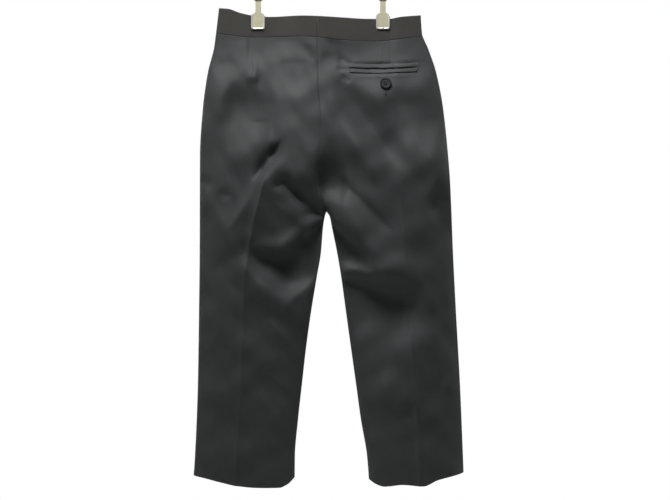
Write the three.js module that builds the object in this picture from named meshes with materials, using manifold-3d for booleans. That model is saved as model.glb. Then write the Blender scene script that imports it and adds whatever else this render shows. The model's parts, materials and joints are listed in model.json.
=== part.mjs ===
// Child's dress trousers held by the waistband in a two-clip hanger.
// Millimetres, +Z up. The seat faces -Y, the fly faces +Y, and the wearer's right leg is at +X.
// The origin is the point under the top of the hook, where the hanger rests on a rail.
// A drop is a distance below the waistband's top edge, measured at the centre back.
import * as THREE from 'three';
import { mergeVertices } from 'three/addons/utils/BufferGeometryUtils.js';
import Module from 'manifold-3d';

const wasm = await Module();
wasm.setup();

// Hanger: one bent wire with a straight bar, and two folded strip clips that wrap over the bar
const HOOK_WIRE = 4;
const HOOK_RADIUS = 22;
const BAR_DIAMETER = 5.2;
const BAR_LENGTH = 300;
const BAR_DROP = -29;
const HANGER_HEIGHT = 82;
const WAIST_Z = -HANGER_HEIGHT + BAR_DROP;
const CLIP_X = { left: -81, right: 82.5 };
const CLIP_WIDTH = 18;
const CLIP_NECK = 7;
const CLIP_SHEET = 1.2;
const CLIP_FOOT_DROP = 16.5;
const CLIP_SHOULDER_DROP = -2.5;
const CLIP_TAPER = 3;
const CLIP_CORNER = 2;
const RING_HEIGHT = 4;
const RING_WALL = 1.2;
const RING_PLAY = 0.5;

// Cloth
const SEAM_GAP = 0.3;
const CLOTH = 1.6;
const BAND_WALL = 2.2;
const HEM_TURN_UP = 32;
const HEM_EXTRA = 1;
const TURN_UP_STEP = 0.9;

// Where the clips pinch the waistband flat, and how far it bows away from its middle plane between them
const PINCH = 2.6;
const PINCH_HALF_WIDTH = 11;
const BAND_BOW = { back: 12, front: 9.5 };
const BAND_SIDE_BOW = 2.2;
const PINCH_END_DROP = 112;
const SIDE_FOLD = 4;

// Fly: the left front laps over the right front, and its waistband ends in a buttoned tab
const FLY_LAP = 8;
const FLY_END = 150;
const FLY_TAPER = 14;
const TAB_LAP = 27;
const LAP_GAP = 0.45;
const LAP_RISE = { full: 7, none: 13 };
const ZIP = { from: 36, to: 136, width: 22, thick: 1.2, gap: 0.5 };

// Back pocket on the wearer's right: two welts, and a button under them
const POCKET = { left: 38, right: 127.5, drop: 68.2, tilt: -1.5, slit: 0.8, welt: 5.7, thick: 1.5 };
const BUTTON = { diameter: 15, thick: 3.2, rim: 1.6, dish: 0.9, holeDiameter: 1.8, holeSpread: 1.9 };
const BUTTON_BEVEL = { back: 1.2, backHeight: 1, front: 0.7, dish: 0.8 };
const ROUND_SIDES = { button: 24, hole: 8, bar: 16, footing: 16 };
const POCKET_BUTTON = { x: 85.3, drop: 89.6 };
const TAB_BUTTON = { x: 15, drop: 17 };

// A centre seam lies no further out than this share of the depth at the crease
const SEAM_DEPTH_SHARE = 0.985;

// The fork is where the four panels meet between the legs
const FORK_DROP = 255;
const FIRST_ROW = 29;
const LAST_ROW = 605;

// Sections down the garment: side seams' distance from the middle, depth of the back and of the front
// at their creases, and the exponent that rounds the section off towards the side seam
const SECTIONS = [
  { drop: -12, left: 132.3, right: 131.5, back: 14, front: 11, round: 3.2 },
  { drop: 21, left: 136.2, right: 133.6, back: 14, front: 11, round: 3.2 },
  { drop: 41, left: 138.9, right: 141.5, back: 17, front: 12, round: 3.0 },
  { drop: 72, left: 146.7, right: 152.0, back: 22, front: 15, round: 2.8 },
  { drop: 119, left: 153.3, right: 161.1, back: 28, front: 19, round: 2.6 },
  { drop: 182, left: 157.2, right: 167.7, back: 31, front: 22, round: 2.4 },
  { drop: 245, left: 157.4, right: 171.6, back: 31, front: 23, round: 2.3 },
  { drop: 308, left: 157.6, right: 174.2, back: 28, front: 22, round: 2.2 },
  { drop: 387, left: 158.5, right: 178.2, back: 25, front: 20, round: 2.1 },
  { drop: 481, left: 160.0, right: 183.4, back: 23, front: 19, round: 2.0 },
  { drop: 575, left: 163.8, right: 187.3, back: 22, front: 18, round: 2.0 },
  { drop: 620, left: 167.0, right: 189.0, back: 22, front: 18, round: 2.0 },
];

// Centre seams from the waistband to the fork: their line across, and their depth
const CENTRE_SEAMS = [
  { drop: -12, back: -3.5, front: 0, backDeep: 14, frontDeep: 11 },
  { drop: 28, back: -3.5, front: 0, backDeep: 15, frontDeep: 12 },
  { drop: 94, back: -2.4, front: 0.3, backDeep: 22, frontDeep: 15.5 },
  { drop: 135, back: 1.6, front: 0.8, backDeep: 27, frontDeep: 19 },
  { drop: 176, back: 2.1, front: 1.6, backDeep: 28, frontDeep: 20 },
  { drop: 208, back: -2.6, front: 3.0, backDeep: 25, frontDeep: 18 },
  { drop: 231, back: -0.5, front: 5.0, backDeep: 20, frontDeep: 14 },
  { drop: 243, back: 3.6, front: 6.6, backDeep: 15, frontDeep: 10.5 },
  { drop: 251, back: 6.9, front: 7.8, backDeep: 8.5, frontDeep: 6 },
  { drop: FORK_DROP, back: 8.5, front: 8.5, backDeep: 0, frontDeep: 0 },
];

// Inseams of the two legs below the fork
const INSEAMS = [
  { drop: FORK_DROP, left: 8.3, right: 8.7 },
  { drop: 261, left: 6.4, right: 12.6 },
  { drop: 276, left: 3.9, right: 15.7 },
  { drop: 308, left: 1.3, right: 22.3 },
  { drop: 339, left: -3.9, right: 27.5 },
  { drop: 387, left: -11.8, right: 34.1 },
  { drop: 434, left: -18.3, right: 40.6 },
  { drop: 481, left: -23.6, right: 47.2 },
  { drop: 528, left: -28.8, right: 53.7 },
  { drop: 575, left: -32.8, right: 61.6 },
  { drop: 620, left: -33.2, right: 65.0 },
];

// Pressed creases, carried on up to the back darts and the front waistband.
// Rise is how far the crease stands up.
const CREASES = {
  back: [
    { drop: -12, left: -90.4, right: 82.5, riseLeft: 0, riseRight: 0 },
    { drop: 76, left: -90.4, right: 83.0, riseLeft: 0, riseRight: 0 },
    { drop: 119, left: -75.0, right: 88.5, riseLeft: 0.4, riseRight: 0 },
    { drop: 147, left: -64.0, right: 92.5, riseLeft: 1.6, riseRight: 0 },
    { drop: 194, left: -66.8, right: 99.0, riseLeft: 2.4, riseRight: 0 },
    { drop: 232, left: -76.0, right: 103.5, riseLeft: 2.4, riseRight: 0.3 },
    { drop: 279, left: -87.8, right: 108.5, riseLeft: 2.0, riseRight: 1.2 },
    { drop: 345, left: -97.2, right: 112.6, riseLeft: 2.0, riseRight: 1.6 },
    { drop: 434, left: -100.9, right: 119.0, riseLeft: 2.2, riseRight: 2.0 },
    { drop: 497, left: -103.5, right: 125.0, riseLeft: 2.4, riseRight: 2.4 },
    { drop: 620, left: -110.5, right: 130.0, riseLeft: 2.6, riseRight: 2.6 },
  ],
  front: [
    { drop: -12, left: -76, right: 76, riseLeft: 0, riseRight: 0 },
    { drop: 60, left: -78, right: 79, riseLeft: 0.6, riseRight: 0.6 },
    { drop: 150, left: -82, right: 87, riseLeft: 1.6, riseRight: 1.6 },
    { drop: 255, left: -86, right: 96, riseLeft: 2.0, riseRight: 2.0 },
    { drop: 345, left: -92, right: 104, riseLeft: 2.2, riseRight: 2.2 },
    { drop: 497, left: -101, right: 119, riseLeft: 2.4, riseRight: 2.4 },
    { drop: 620, left: -106, right: 128, riseLeft: 2.6, riseRight: 2.6 },
  ],
};
const CREASE_REACH = 5;

// Edges across the waist: the waistband's top, and the seam under it
const BACK_WAIST = [
  { x: -136, top: -11.8, seam: 21.6 },
  { x: -120, top: -10.5, seam: 24.0 },
  { x: -105, top: -5.2, seam: 26.0 },
  { x: -90, top: -2.0, seam: 27.0 },
  { x: -65, top: 0, seam: 27.0 },
  { x: -26, top: -1.0, seam: 26.4 },
  { x: 0, top: 0, seam: 27.8 },
  { x: 29, top: 1.4, seam: 31.0 },
  { x: 64, top: 2.6, seam: 32.5 },
  { x: 90, top: 2.6, seam: 31.2 },
  { x: 107, top: 0, seam: 29.0 },
  { x: 136, top: -2.6, seam: 25.4 },
];
const FRONT_WAIST = [
  { x: -136, top: -11.8, seam: 21.6 },
  { x: -90, top: 0.5, seam: 29.5 },
  { x: 0, top: 6.0, seam: 35.0 },
  { x: 90, top: 4.0, seam: 33.0 },
  { x: 136, top: -2.6, seam: 25.4 },
];

// Hem line round each leg: q runs from the inseam (0) to the side seam (1)
const HEMS = [
  { q: 0.0, backLeft: 602.5, backRight: 605.0, frontLeft: 602.5, frontRight: 605.0 },
  { q: 0.07, backLeft: 611.0, backRight: 610.5, frontLeft: 602.0, frontRight: 604.0 },
  { q: 0.15, backLeft: 615.0, backRight: 613.4, frontLeft: 601.5, frontRight: 602.5 },
  { q: 0.35, backLeft: 614.5, backRight: 610.8, frontLeft: 600.5, frontRight: 600.0 },
  { q: 0.56, backLeft: 612.0, backRight: 612.3, frontLeft: 600.0, frontRight: 598.0 },
  { q: 0.72, backLeft: 607.5, backRight: 604.5, frontLeft: 599.5, frontRight: 597.0 },
  { q: 0.85, backLeft: 603.5, backRight: 600.5, frontLeft: 599.5, frontRight: 596.0 },
  { q: 1.0, backLeft: 600.0, backRight: 596.0, frontLeft: 600.0, frontRight: 596.0 },
];

// Folds: each runs from one point to another, stands up (rise above 0) or sinks in, and dies out
// over wideA on the left of its direction and wideB on the right of it
const FOLDS = {
  back: [
    { x1: -60, drop1: 166, x2: -81, drop2: 197, rise: -6.0, wideA: 7, wideB: 6 },
    { x1: -70, drop1: 200, x2: -108, drop2: 262, rise: 4.0, wideA: 8, wideB: 10 },
    { x1: -47, drop1: 214, x2: -10, drop2: 250, rise: -4.0, wideA: 7, wideB: 7 },
    { x1: -46, drop1: 232, x2: -10, drop2: 264, rise: 3.5, wideA: 8, wideB: 8 },
    { x1: -80, drop1: 296, x2: -34, drop2: 296, rise: 5.0, wideA: 12, wideB: 9 },
    { x1: -76, drop1: 314, x2: -38, drop2: 330, rise: -6.0, wideA: 10, wideB: 10 },
    { x1: -38, drop1: 330, x2: 0, drop2: 292, rise: -7.0, wideA: 13, wideB: 12 },
    { x1: -96, drop1: 322, x2: -40, drop2: 360, rise: 4.0, wideA: 9, wideB: 12 },
    { x1: -40, drop1: 360, x2: -6, drop2: 326, rise: 4.0, wideA: 9, wideB: 12 },
    { x1: -104, drop1: 96, x2: -74, drop2: 102, rise: -4.0, wideA: 12, wideB: 14 },
    { x1: 5, drop1: 172, x2: 14, drop2: 212, rise: -4.5, wideA: 10, wideB: 9 },
    { x1: 31, drop1: 162, x2: 70, drop2: 208, rise: -3.5, wideA: 9, wideB: 9 },
    { x1: 40, drop1: 84, x2: 84, drop2: 156, rise: -4.0, wideA: 11, wideB: 11 },
    { x1: 100, drop1: 106, x2: 152, drop2: 122, rise: -3.5, wideA: 13, wideB: 14 },
    { x1: 130, drop1: 168, x2: 160, drop2: 206, rise: 4.0, wideA: 15, wideB: 15 },
    { x1: 8, drop1: 232, x2: 78, drop2: 276, rise: 4.5, wideA: 12, wideB: 9 },
    { x1: 20, drop1: 268, x2: 64, drop2: 318, rise: -6.5, wideA: 8, wideB: 9 },
    { x1: 40, drop1: 350, x2: 110, drop2: 360, rise: -4.0, wideA: 13, wideB: 13 },
    { x1: 34, drop1: 328, x2: 66, drop2: 332, rise: 2.5, wideA: 9, wideB: 9 },
    { x1: 150, drop1: 236, x2: 158, drop2: 248, rise: -2.5, wideA: 11, wideB: 11 },
    { x1: 84, drop1: 470, x2: 120, drop2: 500, rise: 2.5, wideA: 18, wideB: 18 },
    { x1: -66, drop1: 400, x2: -40, drop2: 452, rise: 1.8, wideA: 10, wideB: 10 },
  ],
  front: [
    { x1: -16, drop1: 246, x2: -82, drop2: 214, rise: 3.5, wideA: 9, wideB: 9 },
    { x1: -14, drop1: 268, x2: -70, drop2: 250, rise: -3.5, wideA: 9, wideB: 9 },
    { x1: -18, drop1: 286, x2: -60, drop2: 330, rise: 3.5, wideA: 12, wideB: 12 },
    { x1: -30, drop1: 330, x2: -96, drop2: 356, rise: -3.0, wideA: 13, wideB: 13 },
    { x1: 32, drop1: 246, x2: 96, drop2: 210, rise: 3.5, wideA: 9, wideB: 9 },
    { x1: 30, drop1: 270, x2: 86, drop2: 248, rise: -3.5, wideA: 9, wideB: 9 },
    { x1: 34, drop1: 290, x2: 74, drop2: 338, rise: 3.5, wideA: 12, wideB: 12 },
    { x1: 44, drop1: 344, x2: 112, drop2: 366, rise: -3.0, wideA: 13, wideB: 13 },
    { x1: -120, drop1: 100, x2: -100, drop2: 170, rise: -3.0, wideA: 13, wideB: 13 },
    { x1: 122, drop1: 96, x2: 106, drop2: 176, rise: -3.0, wideA: 13, wideB: 13 },
  ],
};

// Folds fade where the cloth is nearer than this to the middle plane,
// and none sinks past this share of its depth
const FOLD_CLEAR = 10;
const SINK_SHARE = 0.6;
const LEAST_ROOM = 0.01;

// Columns over a panel, from its centre seam or inseam to the crease, and from there to the side seam
const COLUMNS = {
  back: {
    inner: [1, 0.86, 0.71, 0.57, 0.43, 0.29, 0.14, 0.03, 0],
    outer: [0.03, 0.17, 0.34, 0.52, 0.7, 0.86, 1],
  },
  front: {
    inner: [1, 0.93, 0.8, 0.6, 0.4, 0.2, 0.035, 0],
    outer: [0.035, 0.24, 0.44, 0.64, 0.83, 1],
  },
};
const ROWS = {
  back: { seat: 20, thigh: 9, shin: 9 },
  front: { seat: 15, thigh: 6, shin: 7 },
};
const KNEE_DROP = 366;

// Rows follow the waist seam's curve down to the first of these drops, and the hem's curve from the second
const SHIFT_END = 120;
const SHIFT_START = 450;

const SIDE = { left: -1, right: 1 };

function clamp01(value) {
  return Math.min(1, Math.max(0, value));
}

// A smooth step from 0 at start to 1 at end
function ease(start, end, value) {
  const t = clamp01((value - start) / (end - start));
  return t * t * (3 - 2 * t);
}

// Reads a column of a table at any place between its rows, by a cubic that never overshoots them
function along(table, by, column, place) {
  const last = table.length - 1;
  const at = Math.min(table[last][by], Math.max(table[0][by], place));
  let i = 0;
  while (i < last - 1 && table[i + 1][by] < at) i += 1;
  const rate = (k) => (table[k + 1][column] - table[k][column]) / (table[k + 1][by] - table[k][by]);
  const slope = (k) => {
    if (k === 0) return rate(0);
    if (k === last) return rate(last - 1);
    const before = rate(k - 1);
    const after = rate(k);
    return before * after <= 0 ? 0 : (2 * before * after) / (before + after);
  };
  const span = table[i + 1][by] - table[i][by];
  const t = (at - table[i][by]) / span;
  const a = table[i][column];
  const b = table[i + 1][column];
  const bend = (1 - t) * slope(i) * span - t * slope(i + 1) * span;
  const line = a + (b - a) * t;
  return line + t * (1 - t) * (bend + (b - a) * (2 * t - 1));
}

// How far the side seam, the crease and the centre seam lie towards the side named by half
const sideSeam = (half, drop) => along(SECTIONS, 'drop', half, drop);
const crease = (face, half, drop) => SIDE[half] * along(CREASES[face], 'drop', half, drop);
const centreSeam = (face, half, drop) => SIDE[half] * along(CENTRE_SEAMS, 'drop', face, drop);

// The inner end of a section: the inseam below the fork, and above it the place past the centre seam
// where the section would close if it ran on, so that it has the seam's depth at the seam
function innerEnd(face, half, drop) {
  if (drop >= FORK_DROP) return SIDE[half] * along(INSEAMS, 'drop', half, drop);
  const round = along(SECTIONS, 'drop', 'round', drop);
  const deep = along(SECTIONS, 'drop', face, drop);
  const seamDeep = Math.min(along(CENTRE_SEAMS, 'drop', `${face}Deep`, drop), SEAM_DEPTH_SHARE * deep);
  const share = (1 - (seamDeep / deep) ** round) ** (1 / round);
  const line = crease(face, half, drop);
  const seam = centreSeam(face, half, drop) + SEAM_GAP / 2;
  return line - (line - seam) / share;
}

// Depth of the pinched waist, away from the middle plane; inset moves it inwards by a wall's thickness
function waistDepth(face, half, across, drop, inset) {
  const clip = Math.abs(CLIP_X[half]);
  const away = across - clip;
  if (away <= 0) {
    const bowed = ease(0, clip - PINCH_HALF_WIDTH, -away - PINCH_HALF_WIDTH);
    return PINCH + (BAND_BOW[face] - PINCH) * bowed - inset;
  }
  const room = sideSeam(half, drop) - inset - clip - PINCH_HALF_WIDTH;
  const u = clamp01((away - PINCH_HALF_WIDTH) / room);
  const bowed = PINCH + BAND_SIDE_BOW * Math.sin(Math.PI * Math.sqrt(u)) ** 2 - inset;
  return bowed * (1 - u ** SIDE_FOLD) ** (1 / SIDE_FOLD);
}

// Depth of the hip or leg section
function bodyDepth(face, half, across, drop, inset) {
  const round = along(SECTIONS, 'drop', 'round', drop);
  const deep = along(SECTIONS, 'drop', face, drop) - inset;
  const line = crease(face, half, drop);
  const end = across > line ? sideSeam(half, drop) - inset : innerEnd(face, half, drop) + inset;
  const f = clamp01((across - line) / (end - line));
  return deep * (1 - f ** round) ** (1 / round);
}

// Height of the folds and of the pressed crease at a point
function foldHeight(face, x, drop) {
  let height = 0;
  for (const fold of FOLDS[face]) {
    const length = Math.hypot(fold.x2 - fold.x1, fold.drop2 - fold.drop1);
    const ux = (fold.x2 - fold.x1) / length;
    const ud = (fold.drop2 - fold.drop1) / length;
    const run = (x - fold.x1) * ux + (drop - fold.drop1) * ud;
    const off = (x - fold.x1) * ud - (drop - fold.drop1) * ux;
    const wide = off > 0 ? fold.wideA : fold.wideB;
    const past = Math.max(0, -run, run - length);
    height += fold.rise * Math.exp(-((off / wide) ** 2) - (past / wide) ** 2);
  }
  return height;
}

function creaseHeight(face, half, across, drop) {
  const rise = along(CREASES[face], 'drop', half === 'left' ? 'riseLeft' : 'riseRight', drop);
  return rise * Math.exp(-Math.abs(across - crease(face, half, drop)) / CREASE_REACH);
}

// Depth of the cloth at a place of the back or front, folds and all, measured away from the middle plane
function clothDepth(face, x, drop, inset) {
  const half = x < along(CENTRE_SEAMS, 'drop', face, drop) ? 'left' : 'right';
  const across = SIDE[half] * x;
  const pinched = 1 - ease(FIRST_ROW - 3, PINCH_END_DROP, drop);
  const waist = waistDepth(face, half, across, drop, inset);
  const body = bodyDepth(face, half, across, drop, inset);
  const bare = pinched * waist + (1 - pinched) * body;
  const height = foldHeight(face, x, drop) + creaseHeight(face, half, across, drop);
  const room = Math.max(LEAST_ROOM, SINK_SHARE * (bare + inset - CLOTH - HEM_EXTRA));
  const folds = height < 0 ? room * Math.tanh(height / room) : height;
  return bare + ease(0, FOLD_CLEAR, bare) * folds;
}

// Makes one closed wall from an outer and an inner grid of points with the same rows and columns
function wallGeometry(outer, inner) {
  const rows = outer.length;
  const columns = outer[0].length;
  const positions = [...outer.flat(), ...inner.flat()].flatMap((p) => p.toArray());
  const index = [];
  const out = (r, c) => r * columns + c;
  const inn = (r, c) => rows * columns + r * columns + c;
  const quad = (a, b, c, d) => index.push(a, b, c, a, c, d);
  for (let r = 0; r < rows - 1; r += 1) {
    for (let c = 0; c < columns - 1; c += 1) {
      quad(out(r, c), out(r + 1, c), out(r + 1, c + 1), out(r, c + 1));
      quad(inn(r, c), inn(r, c + 1), inn(r + 1, c + 1), inn(r + 1, c));
    }
    quad(out(r, 0), inn(r, 0), inn(r + 1, 0), out(r + 1, 0));
    quad(out(r, columns - 1), out(r + 1, columns - 1), inn(r + 1, columns - 1), inn(r, columns - 1));
  }
  for (let c = 0; c < columns - 1; c += 1) {
    quad(out(0, c), out(0, c + 1), inn(0, c + 1), inn(0, c));
    quad(out(rows - 1, c), inn(rows - 1, c), inn(rows - 1, c + 1), out(rows - 1, c + 1));
  }
  if (enclosedVolume(positions, index) < 0) index.reverse();
  return new THREE.BufferGeometry()
    .setAttribute('position', new THREE.Float32BufferAttribute(positions, 3))
    .setIndex(index);
}

function enclosedVolume(positions, index) {
  const corner = (k) => new THREE.Vector3().fromArray(positions, 3 * k);
  let volume = 0;
  for (let i = 0; i < index.length; i += 3) {
    volume += corner(index[i]).dot(corner(index[i + 1]).cross(corner(index[i + 2]))) / 6;
  }
  return volume;
}

// The point of the cloth at a place across and down, on its outside or inset into it
function clothPoint(face, x, drop, inset, lift = 0) {
  const outwards = face === 'back' ? -1 : 1;
  const depth = clothDepth(face, x, drop, inset) + lift + SEAM_GAP / 2;
  return new THREE.Vector3(x, outwards * depth, WAIST_Z - drop);
}

// Rows of drops for a panel: closest over the seat, with one at the fork and two where the turn-up starts
function panelRows(face) {
  const { seat, thigh, shin } = ROWS[face];
  const spread = (from, to, count, power) =>
    Array.from({ length: count }, (_, i) => from + (to - from) * (i / count) ** power);
  const turnUp = LAST_ROW - HEM_TURN_UP;
  return [
    ...spread(FIRST_ROW, FORK_DROP, seat, 0.9),
    ...spread(FORK_DROP, KNEE_DROP, thigh, 1),
    ...spread(KNEE_DROP, turnUp - 1, shin, 1),
    turnUp - 1,
    turnUp + 1,
    (turnUp + LAST_ROW) / 2,
    LAST_ROW,
  ];
}

// How far the left front reaches past the centre seam for the fly, and how far its lap is lifted
function flyReach(drop) {
  return (FLY_LAP + SEAM_GAP / 2) * (1 - ease(FLY_END - FLY_TAPER, FLY_END, drop)) - SEAM_GAP / 2;
}

function flyLift(drop, across) {
  const above = 1 - ease(FLY_END + FLY_TAPER / 2, FLY_END + 2 * FLY_TAPER, drop);
  const beside = 1 - ease(LAP_RISE.full, LAP_RISE.none, across);
  return (CLOTH + LAP_GAP) * above * beside;
}

// Place across, towards the side named by half, of a column at a given drop
function columnAcross(face, half, column, drop, inset) {
  const line = crease(face, half, drop);
  const { zone, w } = column;
  if (zone === 'outer') {
    return line + (sideSeam(half, drop) - inset - line) * Math.sin((Math.PI / 2) * w);
  }
  const closed = innerEnd(face, half, drop) + inset;
  const cut = centreSeam(face, half, drop) + SEAM_GAP / 2;
  const end = drop < FORK_DROP ? Math.max(cut, closed) : closed;
  if (zone === 'lap') return end - flyReach(drop) - SEAM_GAP / 2;
  const full = Math.asin(clamp01((line - end) / (line - closed)));
  return line - (line - closed) * Math.sin(full * w);
}

function panelGeometry(face, half) {
  const { inner, outer } = COLUMNS[face];
  const columns = [
    ...inner.map((w) => ({ zone: 'inner', w })),
    ...outer.map((w) => ({ zone: 'outer', w })),
  ];
  if (face === 'front' && half === 'left') columns[0] = { zone: 'lap' };
  const waist = face === 'back' ? BACK_WAIST : FRONT_WAIST;
  const hemColumn = `${face}${half === 'left' ? 'Left' : 'Right'}`;
  const shiftedDrop = (column, row) => {
    let drop = row;
    for (let pass = 0; pass < 3; pass += 1) {
      const across = columnAcross(face, half, column, drop, 0);
      const topShift = along(waist, 'x', 'seam', SIDE[half] * across) + SEAM_GAP / 2 - FIRST_ROW;
      const inseam = SIDE[half] * along(INSEAMS, 'drop', half, drop);
      const q = clamp01((across - inseam) / (sideSeam(half, drop) - inseam));
      const hemShift = along(HEMS, 'q', hemColumn, q) - LAST_ROW;
      const nearWaist = 1 - ease(FIRST_ROW, SHIFT_END, row);
      const nearHem = ease(SHIFT_START, LAST_ROW, row);
      drop = row + topShift * nearWaist + hemShift * nearHem;
    }
    return drop;
  };
  const grid = (isInner) =>
    panelRows(face).map((row) => {
      const turnUp = LAST_ROW - HEM_TURN_UP;
      const turnedUp = ease(turnUp - TURN_UP_STEP, turnUp + TURN_UP_STEP, row);
      const inset = isInner ? CLOTH + HEM_EXTRA * turnedUp : 0;
      return columns.map((column) => {
        const drop = shiftedDrop(column, row);
        const across = columnAcross(face, half, column, drop, inset);
        const lift = face === 'front' && half === 'left' ? flyLift(drop, across) : 0;
        return clothPoint(face, SIDE[half] * across, drop, inset, lift);
      });
    });
  return wallGeometry(grid(false), grid(true));
}

// Places across the waistband on one face: even steps to the clip, flat under it,
// then close round the side fold
const BAND_STEPS = [0, 0.2, 0.4, 0.6, 0.8, 1];
const BAND_FOLD_STEPS = [0.25, 0.5, 0.72, 0.88, 0.96, 0.99, 1];
const TAB_STEPS = [0, 0.5, 0.95];

function bandAcross(face, half, drop, inset) {
  const clip = Math.abs(CLIP_X[half]);
  const start = centreSeam(face, half, drop) + SEAM_GAP / 2;
  const reach = clip - PINCH_HALF_WIDTH - start;
  const laps = face === 'front' && half === 'left';
  const tab = laps ? TAB_STEPS.map((t) => start - TAB_LAP * (1 - t)) : [];
  const toClip = BAND_STEPS.map((t) => start + reach * t);
  const foldStart = clip + PINCH_HALF_WIDTH;
  const room = sideSeam(half, drop) - inset - foldStart;
  return [...tab, ...toClip, foldStart, ...BAND_FOLD_STEPS.map((u) => foldStart + room * u)];
}

// The waistband half runs from the centre back round the side to the centre front
function bandGeometry(half) {
  const levels = [0, 0.5, 1];
  const edge = (face, x, level) => {
    const waist = face === 'back' ? BACK_WAIST : FRONT_WAIST;
    const top = along(waist, 'x', 'top', x);
    const seam = along(waist, 'x', 'seam', x) - SEAM_GAP / 2;
    return top + (seam - top) * level;
  };
  const lift = (face, across) => {
    if (face !== 'front' || half !== 'left') return 0;
    return (BAND_WALL + LAP_GAP) * (1 - ease(LAP_RISE.full, LAP_RISE.none, across));
  };
  const pointOf = (face, column, level, inset) => {
    let drop = level * FIRST_ROW;
    let across = 0;
    for (let pass = 0; pass < 3; pass += 1) {
      across = bandAcross(face, half, drop, inset)[column];
      drop = edge(face, SIDE[half] * across, level);
    }
    const depth = waistDepth(face, half, across, drop, inset) + lift(face, across);
    return new THREE.Vector3(SIDE[half] * across, (face === 'back' ? -1 : 1) * depth, WAIST_Z - drop);
  };
  const columnsOf = (face) => bandAcross(face, half, 0, 0).map((_, column) => column);
  const grid = (inset) =>
    levels.map((level) => [
      ...columnsOf('back').map((column) => pointOf('back', column, level, inset)),
      ...columnsOf('front').reverse().slice(1).map((column) => pointOf('front', column, level, inset)),
    ]);
  return wallGeometry(grid(0), grid(BAND_WALL));
}

// manifold-3d solids for joining and cutting
function toSolid(geometry) {
  const bare = geometry.index ? geometry.toNonIndexed() : geometry.clone();
  bare.deleteAttribute('normal');
  bare.deleteAttribute('uv');
  const merged = mergeVertices(bare, 1e-4);
  return new wasm.Manifold(new wasm.Mesh({
    numProp: 3,
    vertProperties: Float32Array.from(merged.attributes.position.array),
    triVerts: Uint32Array.from(merged.index.array),
  }));
}

function fromSolid(solid) {
  const mesh = solid.getMesh();
  return new THREE.BufferGeometry()
    .setAttribute('position', new THREE.Float32BufferAttribute(mesh.vertProperties, 3))
    .setIndex([...mesh.triVerts]);
}

// First point of a mesh met from far outside along Y, on the back (from -Y) or on the front (from +Y)
const caster = new THREE.Raycaster();
const FAR_OUTSIDE = 500;
function surfaceFrom(face, mesh, x, drop) {
  const from = face === 'back' ? -1 : 1;
  const start = new THREE.Vector3(x, from * FAR_OUTSIDE, WAIST_Z - drop);
  caster.set(start, new THREE.Vector3(0, -from, 0));
  return caster.intersectObject(mesh)[0].point;
}

// A welt: a strip that lies on the panel and is highest along its middle
const WELT_EDGE_THICK = 0.7;
const WELT_STEPS = 20;
function weltGeometry(panel, above) {
  const width = POCKET.right - POCKET.left;
  const near = above ? -POCKET.slit / 2 : POCKET.slit / 2;
  const far = above ? -POCKET.slit / 2 - POCKET.welt : POCKET.slit / 2 + POCKET.welt;
  const levels = [near, (near + far) / 2, far];
  const grid = (isOuter) =>
    levels.map((level, row) =>
      Array.from({ length: WELT_STEPS + 1 }, (_, i) => {
        const t = i / WELT_STEPS;
        const drop = POCKET.drop + POCKET.tilt * (t - 0.5) + level;
        const point = surfaceFrom('back', panel, POCKET.left + width * t, drop);
        const thick = row === 1 ? POCKET.thick : WELT_EDGE_THICK;
        point.y -= SEAM_GAP + (isOuter ? thick : 0);
        return point;
      }));
  return wallGeometry(grid(true), grid(false));
}

// A four-hole button with a raised rim, its back on z = 0
function buttonGeometry() {
  const radius = BUTTON.diameter / 2;
  const { thick, rim, dish } = BUTTON;
  const bevel = BUTTON_BEVEL;
  const profile = [
    [0, 0],
    [radius - bevel.back, 0],
    [radius, bevel.backHeight],
    [radius, thick - bevel.front],
    [radius - bevel.front, thick],
    [radius - rim, thick],
    [radius - rim - bevel.dish, thick - dish],
    [0, thick - dish],
  ].map(([r, y]) => new THREE.Vector2(r, y));
  let solid = toSolid(new THREE.LatheGeometry(profile, ROUND_SIDES.button).rotateX(Math.PI / 2));
  const holeRadius = BUTTON.holeDiameter / 2;
  for (const sx of [-1, 1]) {
    for (const sy of [-1, 1]) {
      const hole = new THREE.CylinderGeometry(holeRadius, holeRadius, 3 * thick, ROUND_SIDES.hole);
      hole.rotateX(Math.PI / 2).translate(sx * BUTTON.holeSpread, sy * BUTTON.holeSpread, 0);
      solid = solid.subtract(toSolid(hole));
    }
  }
  return fromSolid(solid);
}

// Sits the button on the cloth, square to it, clear of the highest cloth under it
function placeButton(button, face, mesh, place) {
  const reach = BUTTON.diameter / 2 - 1;
  const at = (dx, dd) => surfaceFrom(face, mesh, place.x + dx, place.drop + dd);
  const acrossCloth = at(reach, 0).sub(at(-reach, 0));
  const upCloth = at(0, -reach).sub(at(0, reach));
  const normal = acrossCloth.cross(upCloth).normalize();
  if (face === 'front') normal.negate();
  const centre = at(0, 0);
  let highest = 0;
  for (let k = 0; k < ROUND_SIDES.footing; k += 1) {
    const angle = (2 * Math.PI * k) / ROUND_SIDES.footing;
    const rimPoint = at(reach * Math.cos(angle), reach * Math.sin(angle));
    highest = Math.max(highest, rimPoint.sub(centre).dot(normal));
  }
  button.position.copy(centre).addScaledVector(normal, highest + SEAM_GAP);
  button.quaternion.setFromUnitVectors(new THREE.Vector3(0, 0, 1), normal);
}

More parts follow.
